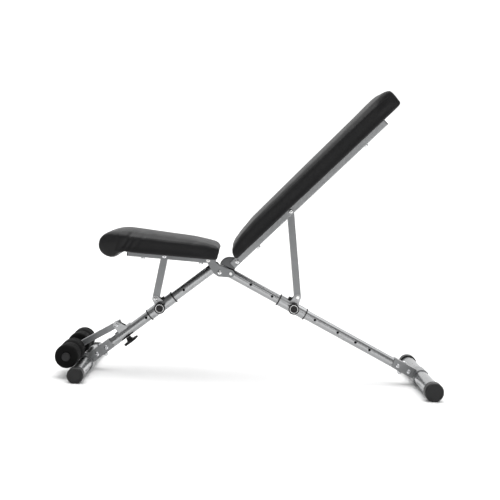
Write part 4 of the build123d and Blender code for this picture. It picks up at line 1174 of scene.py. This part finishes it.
# ---- frame dressing ----------------------------------------------------------------------------
@dataclass
class FrameDressing:
    """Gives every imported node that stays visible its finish."""

    finishes: dict[str, Finish] = field(default_factory=lambda: {
        "rear_leg_tube": FINISHES.rear_leg,
        "front_leg_tube": FINISHES.front_leg,
        "rear_stabiliser": FINISHES.stabiliser,
        "front_stabiliser": FINISHES.stabiliser,
        "rear_sleeve": FINISHES.sleeve,
        "front_sleeve": FINISHES.sleeve,
        "rear_foot_bracket": FINISHES.bracket,
        "front_foot_bracket": FINISHES.bracket,
        "hub_plates": FINISHES.plate,
        "head_plates": FINISHES.head,
        "roller_bracket": FINISHES.sleeve,
        "backrest_rail": FINISHES.rail,
        "seat_rail": FINISHES.plate,
        "roller_arm": FINISHES.link,
        "rear_link": FINISHES.link,
        "seat_link": FINISHES.link,
        "backrest_pivot_spacers": FINISHES.zinc,
        "fold_rivet": FINISHES.zinc,
        "hub_spacer": FINISHES.zinc,
        "rear_clevis_pins": FINISHES.zinc,
        "rear_lock_pin": FINISHES.zinc,
        "front_lock_pin": FINISHES.zinc,
        "star_knob_stud": FINISHES.zinc,
        "roller_axle": FINISHES.zinc,
        "backrest_board": FINISHES.lining,
        "seat_board": FINISHES.lining,
        "rear_bushes": FINISHES.bush,
        "front_bushes": FINISHES.bush,
    })

    def build(self) -> None:
        """Dresses the nodes; any node not named is moulded black."""
        for name, node in frame["nodes"].items():
            finish = self.finishes.get(name, FINISHES.plastic)
            node.data.materials.clear()
            node.data.materials.append(finish.material())
            log.info("%s wears %s", name, finish.name)


# ---- studio ------------------------------------------------------------------------------------
@dataclass
class Studio:
    """Pale floor, soft lights and the camera."""

    eye: tuple[float, float, float] = (-0.0561, -3.2189, 0.6587)
    yaw: float = 0.194
    pitch: float = 0.892
    roll: float = 2.891
    lens: float = 69.62
    shift: tuple[float, float] = (0.0162, -0.1126)
    near_sky: float = 0.24
    far_sky: float = 1.15
    high_sky: float = 2.2

    def light(self, name: str, place: tuple[float, float, float], aim: tuple[float, float, float],
              size: float,
              power: float) -> None:
        """Adds a square soft light that faces a point."""
        data = bpy.data.lights.new(name, "AREA")
        data.shape = "SQUARE"
        data.size = size
        data.energy = power
        lamp = bpy.data.objects.new(name, data)
        lamp.location = place
        lamp.rotation_euler = (Vector(aim) - Vector(place)).to_track_quat("-Z", "Y").to_euler()
        bpy.context.scene.collection.objects.link(lamp)

    def sky(self) -> None:
        """Makes a studio that is white beyond the bench and dimmer on the near side."""
        world = bpy.data.worlds.new("Studio")
        world.use_nodes = True
        tree = world.node_tree
        place = tree.nodes.new("ShaderNodeTexCoord")
        parts = tree.nodes.new("ShaderNodeSeparateXYZ")
        spread = tree.nodes.new("ShaderNodeMapRange")
        spread.interpolation_type = "SMOOTHSTEP"
        spread.inputs["From Min"].default_value = -0.55
        spread.inputs["From Max"].default_value = 0.35
        spread.inputs["To Min"].default_value = self.near_sky
        spread.inputs["To Max"].default_value = self.far_sky
        above = tree.nodes.new("ShaderNodeMapRange")
        above.interpolation_type = "SMOOTHSTEP"
        above.inputs["From Min"].default_value = 0.72
        above.inputs["From Max"].default_value = 0.90
        above.inputs["To Max"].default_value = self.high_sky
        total = tree.nodes.new("ShaderNodeMath")
        tree.links.new(place.outputs["Generated"], parts.inputs["Vector"])
        tree.links.new(parts.outputs["Y"], spread.inputs["Value"])
        tree.links.new(parts.outputs["Z"], above.inputs["Value"])
        tree.links.new(spread.outputs["Result"], total.inputs[0])
        tree.links.new(above.outputs["Result"], total.inputs[1])
        tree.links.new(total.outputs["Value"], tree.nodes["Background"].inputs["Strength"])
        tree.nodes["Background"].inputs["Color"].default_value = (1.0, 1.0, 1.0, 1.0)
        bpy.context.scene.world = world

    def build(self) -> None:
        """Makes the floor, the lights, the sky and the camera."""
        half = 12.0
        floor = piece("Floor", [Vector((-half, -half, 0)), Vector((half, -half, 0)), Vector((half, half, 0)),
                                Vector((-half, half, 0))], [[0, 1, 2, 3]], FINISHES.floor)
        self.sky()
        self.light("Overhead", (-0.5, -0.3, 3.0), (0.0, 0.0, 0.0), 1.6, 16.0)
        self.light("Key", (1.25, -3.5, 1.45), (0.4, 0.0, 0.8), 1.0, 8.0)
        data = bpy.data.cameras.new("Camera")
        data.lens = self.lens
        data.sensor_width = 36.0
        data.shift_x, data.shift_y = self.shift
        camera = bpy.data.objects.new("Camera", data)
        look = Matrix.Rotation(math.radians(-self.yaw), 4, "Z") @ Matrix.Rotation(
            math.radians(90.0 - self.pitch), 4, "X") @ Matrix.Rotation(math.radians(self.roll), 4, "Z")
        camera.matrix_world = Matrix.Translation(Vector(self.eye)) @ look
        bpy.context.scene.collection.objects.link(camera)
        bpy.context.scene.camera = camera
        bpy.context.scene.view_settings.view_transform = "Standard"


# ---- main --------------------------------------------------------------------------------------
def joint_spot(name: str) -> Vector:
    """A joint's place in the middle plane of the bench."""
    place = Vector(JOINTS[name]["pos_m"])
    place.y = 0.0
    return place


def bolt_up(fasteners: Fasteners) -> None:
    """Puts the fasteners on every body.

    Args:
        fasteners: the maker of heads, nuts and screws.
    """
    rail_grip, ear_grip = 21.1, 17.7
    rear_foot = [(REAR_LEG.at(u, 0.0), 19.0) for u in (634.0, 675.0)]
    front_foot = [(FRONT_LEG.at(u, 0.0), 19.2) for u in (46.0, 84.0)]
    fasteners.build("Rear_frame_bolts", "rear_frame", [*rear_foot, (joint_spot("backrest_tilt"),
                                                                    rail_grip)], [], [],
                    ("rear_foot_bolts", "backrest_pivot_bolt"), (REAR_LEG.at(REAR_UPRIGHT_AT, 0.0),
                                                                 REAR_LEG.rise, 16.0))
    hub = joint_spot("leg_fold")
    hub_bolt = hub + Vector((-36.9, 0.0, 2.3)) * MM
    fasteners.build("Front_frame_bolts", "front_frame",
                    [*front_foot, (hub_bolt, 19.2), (joint_spot("seat_tilt"), rail_grip),
                     (joint_spot("roller_arm_tilt"), 16.5)], [], [],
                    ("front_foot_bolts", "hub_bolt", "seat_pivot_bolt", "roller_arm_bolt"),
                    (FRONT_LEG.at(66.0, 0.0), FRONT_LEG.rise, 16.1))
    for name, body, line, joint, spots, low, nodes in (
            ("Backrest_bolts", "backrest", BACK_LINE, "rear_link_swing", (84.0, 577.0), -11.05,
             ("rear_link_bolt", "backrest_screws")),
            ("Seat_bolts", "seat", SEAT_LINE, "seat_link_swing", (-218.0, -24.0), -10.55,
             ("seat_link_bolt", "seat_screws"))):
        middle = joint_spot(joint)
        screws = [(line.at(u, low), line.rise) for u in spots]
        spacers = [(middle + NEAR * side * 14.2 * MM, middle + NEAR * side * 19.1 * MM,
                    6.9) for side in (-1, 1)]
        fasteners.build(name, body, [(middle, rail_grip)], screws, spacers, nodes)
    fasteners.build("Front_clevis_bolts", "front_slider", [(joint_spot("front_slider_run"), ear_grip)], [],
                    [],
                    ("front_clevis_bolt",))


def main() -> None:
    """Builds the looks of the bench, one sub-assembly after another."""
    FrameDressing().build()
    Upholstery().build(stitch_tree())
    FootRollers().build()
    EndCaps("Rear_caps", "rear_frame", "rear_stabiliser_caps", 578.5, 29.0, 30.0, 29.0, 252.0).build()
    EndCaps("Front_caps", "front_frame", "front_stabiliser_caps", -533.5, 24.0, 26.0, 24.0, 242.0).build()
    PullKnob("Rear_pull_knob", "rear_pull").build(REAR_LEG.at(REAR_KNOB_AT, 0.0))
    PullKnob("Front_pull_knob", "front_pull").build(FRONT_LEG.at(FRONT_KNOB_AT, 0.0))
    StarKnob().build()
    Bumper("rear_bumper", "rear_slider", REAR_LEG, 215.0, 27.0).build()
    Bumper("front_bumper", "front_slider", FRONT_LEG, 329.0, 23.0).build()
    bolt_up(Fasteners())
    Studio().build()


if __name__ == "__main__":
    main()
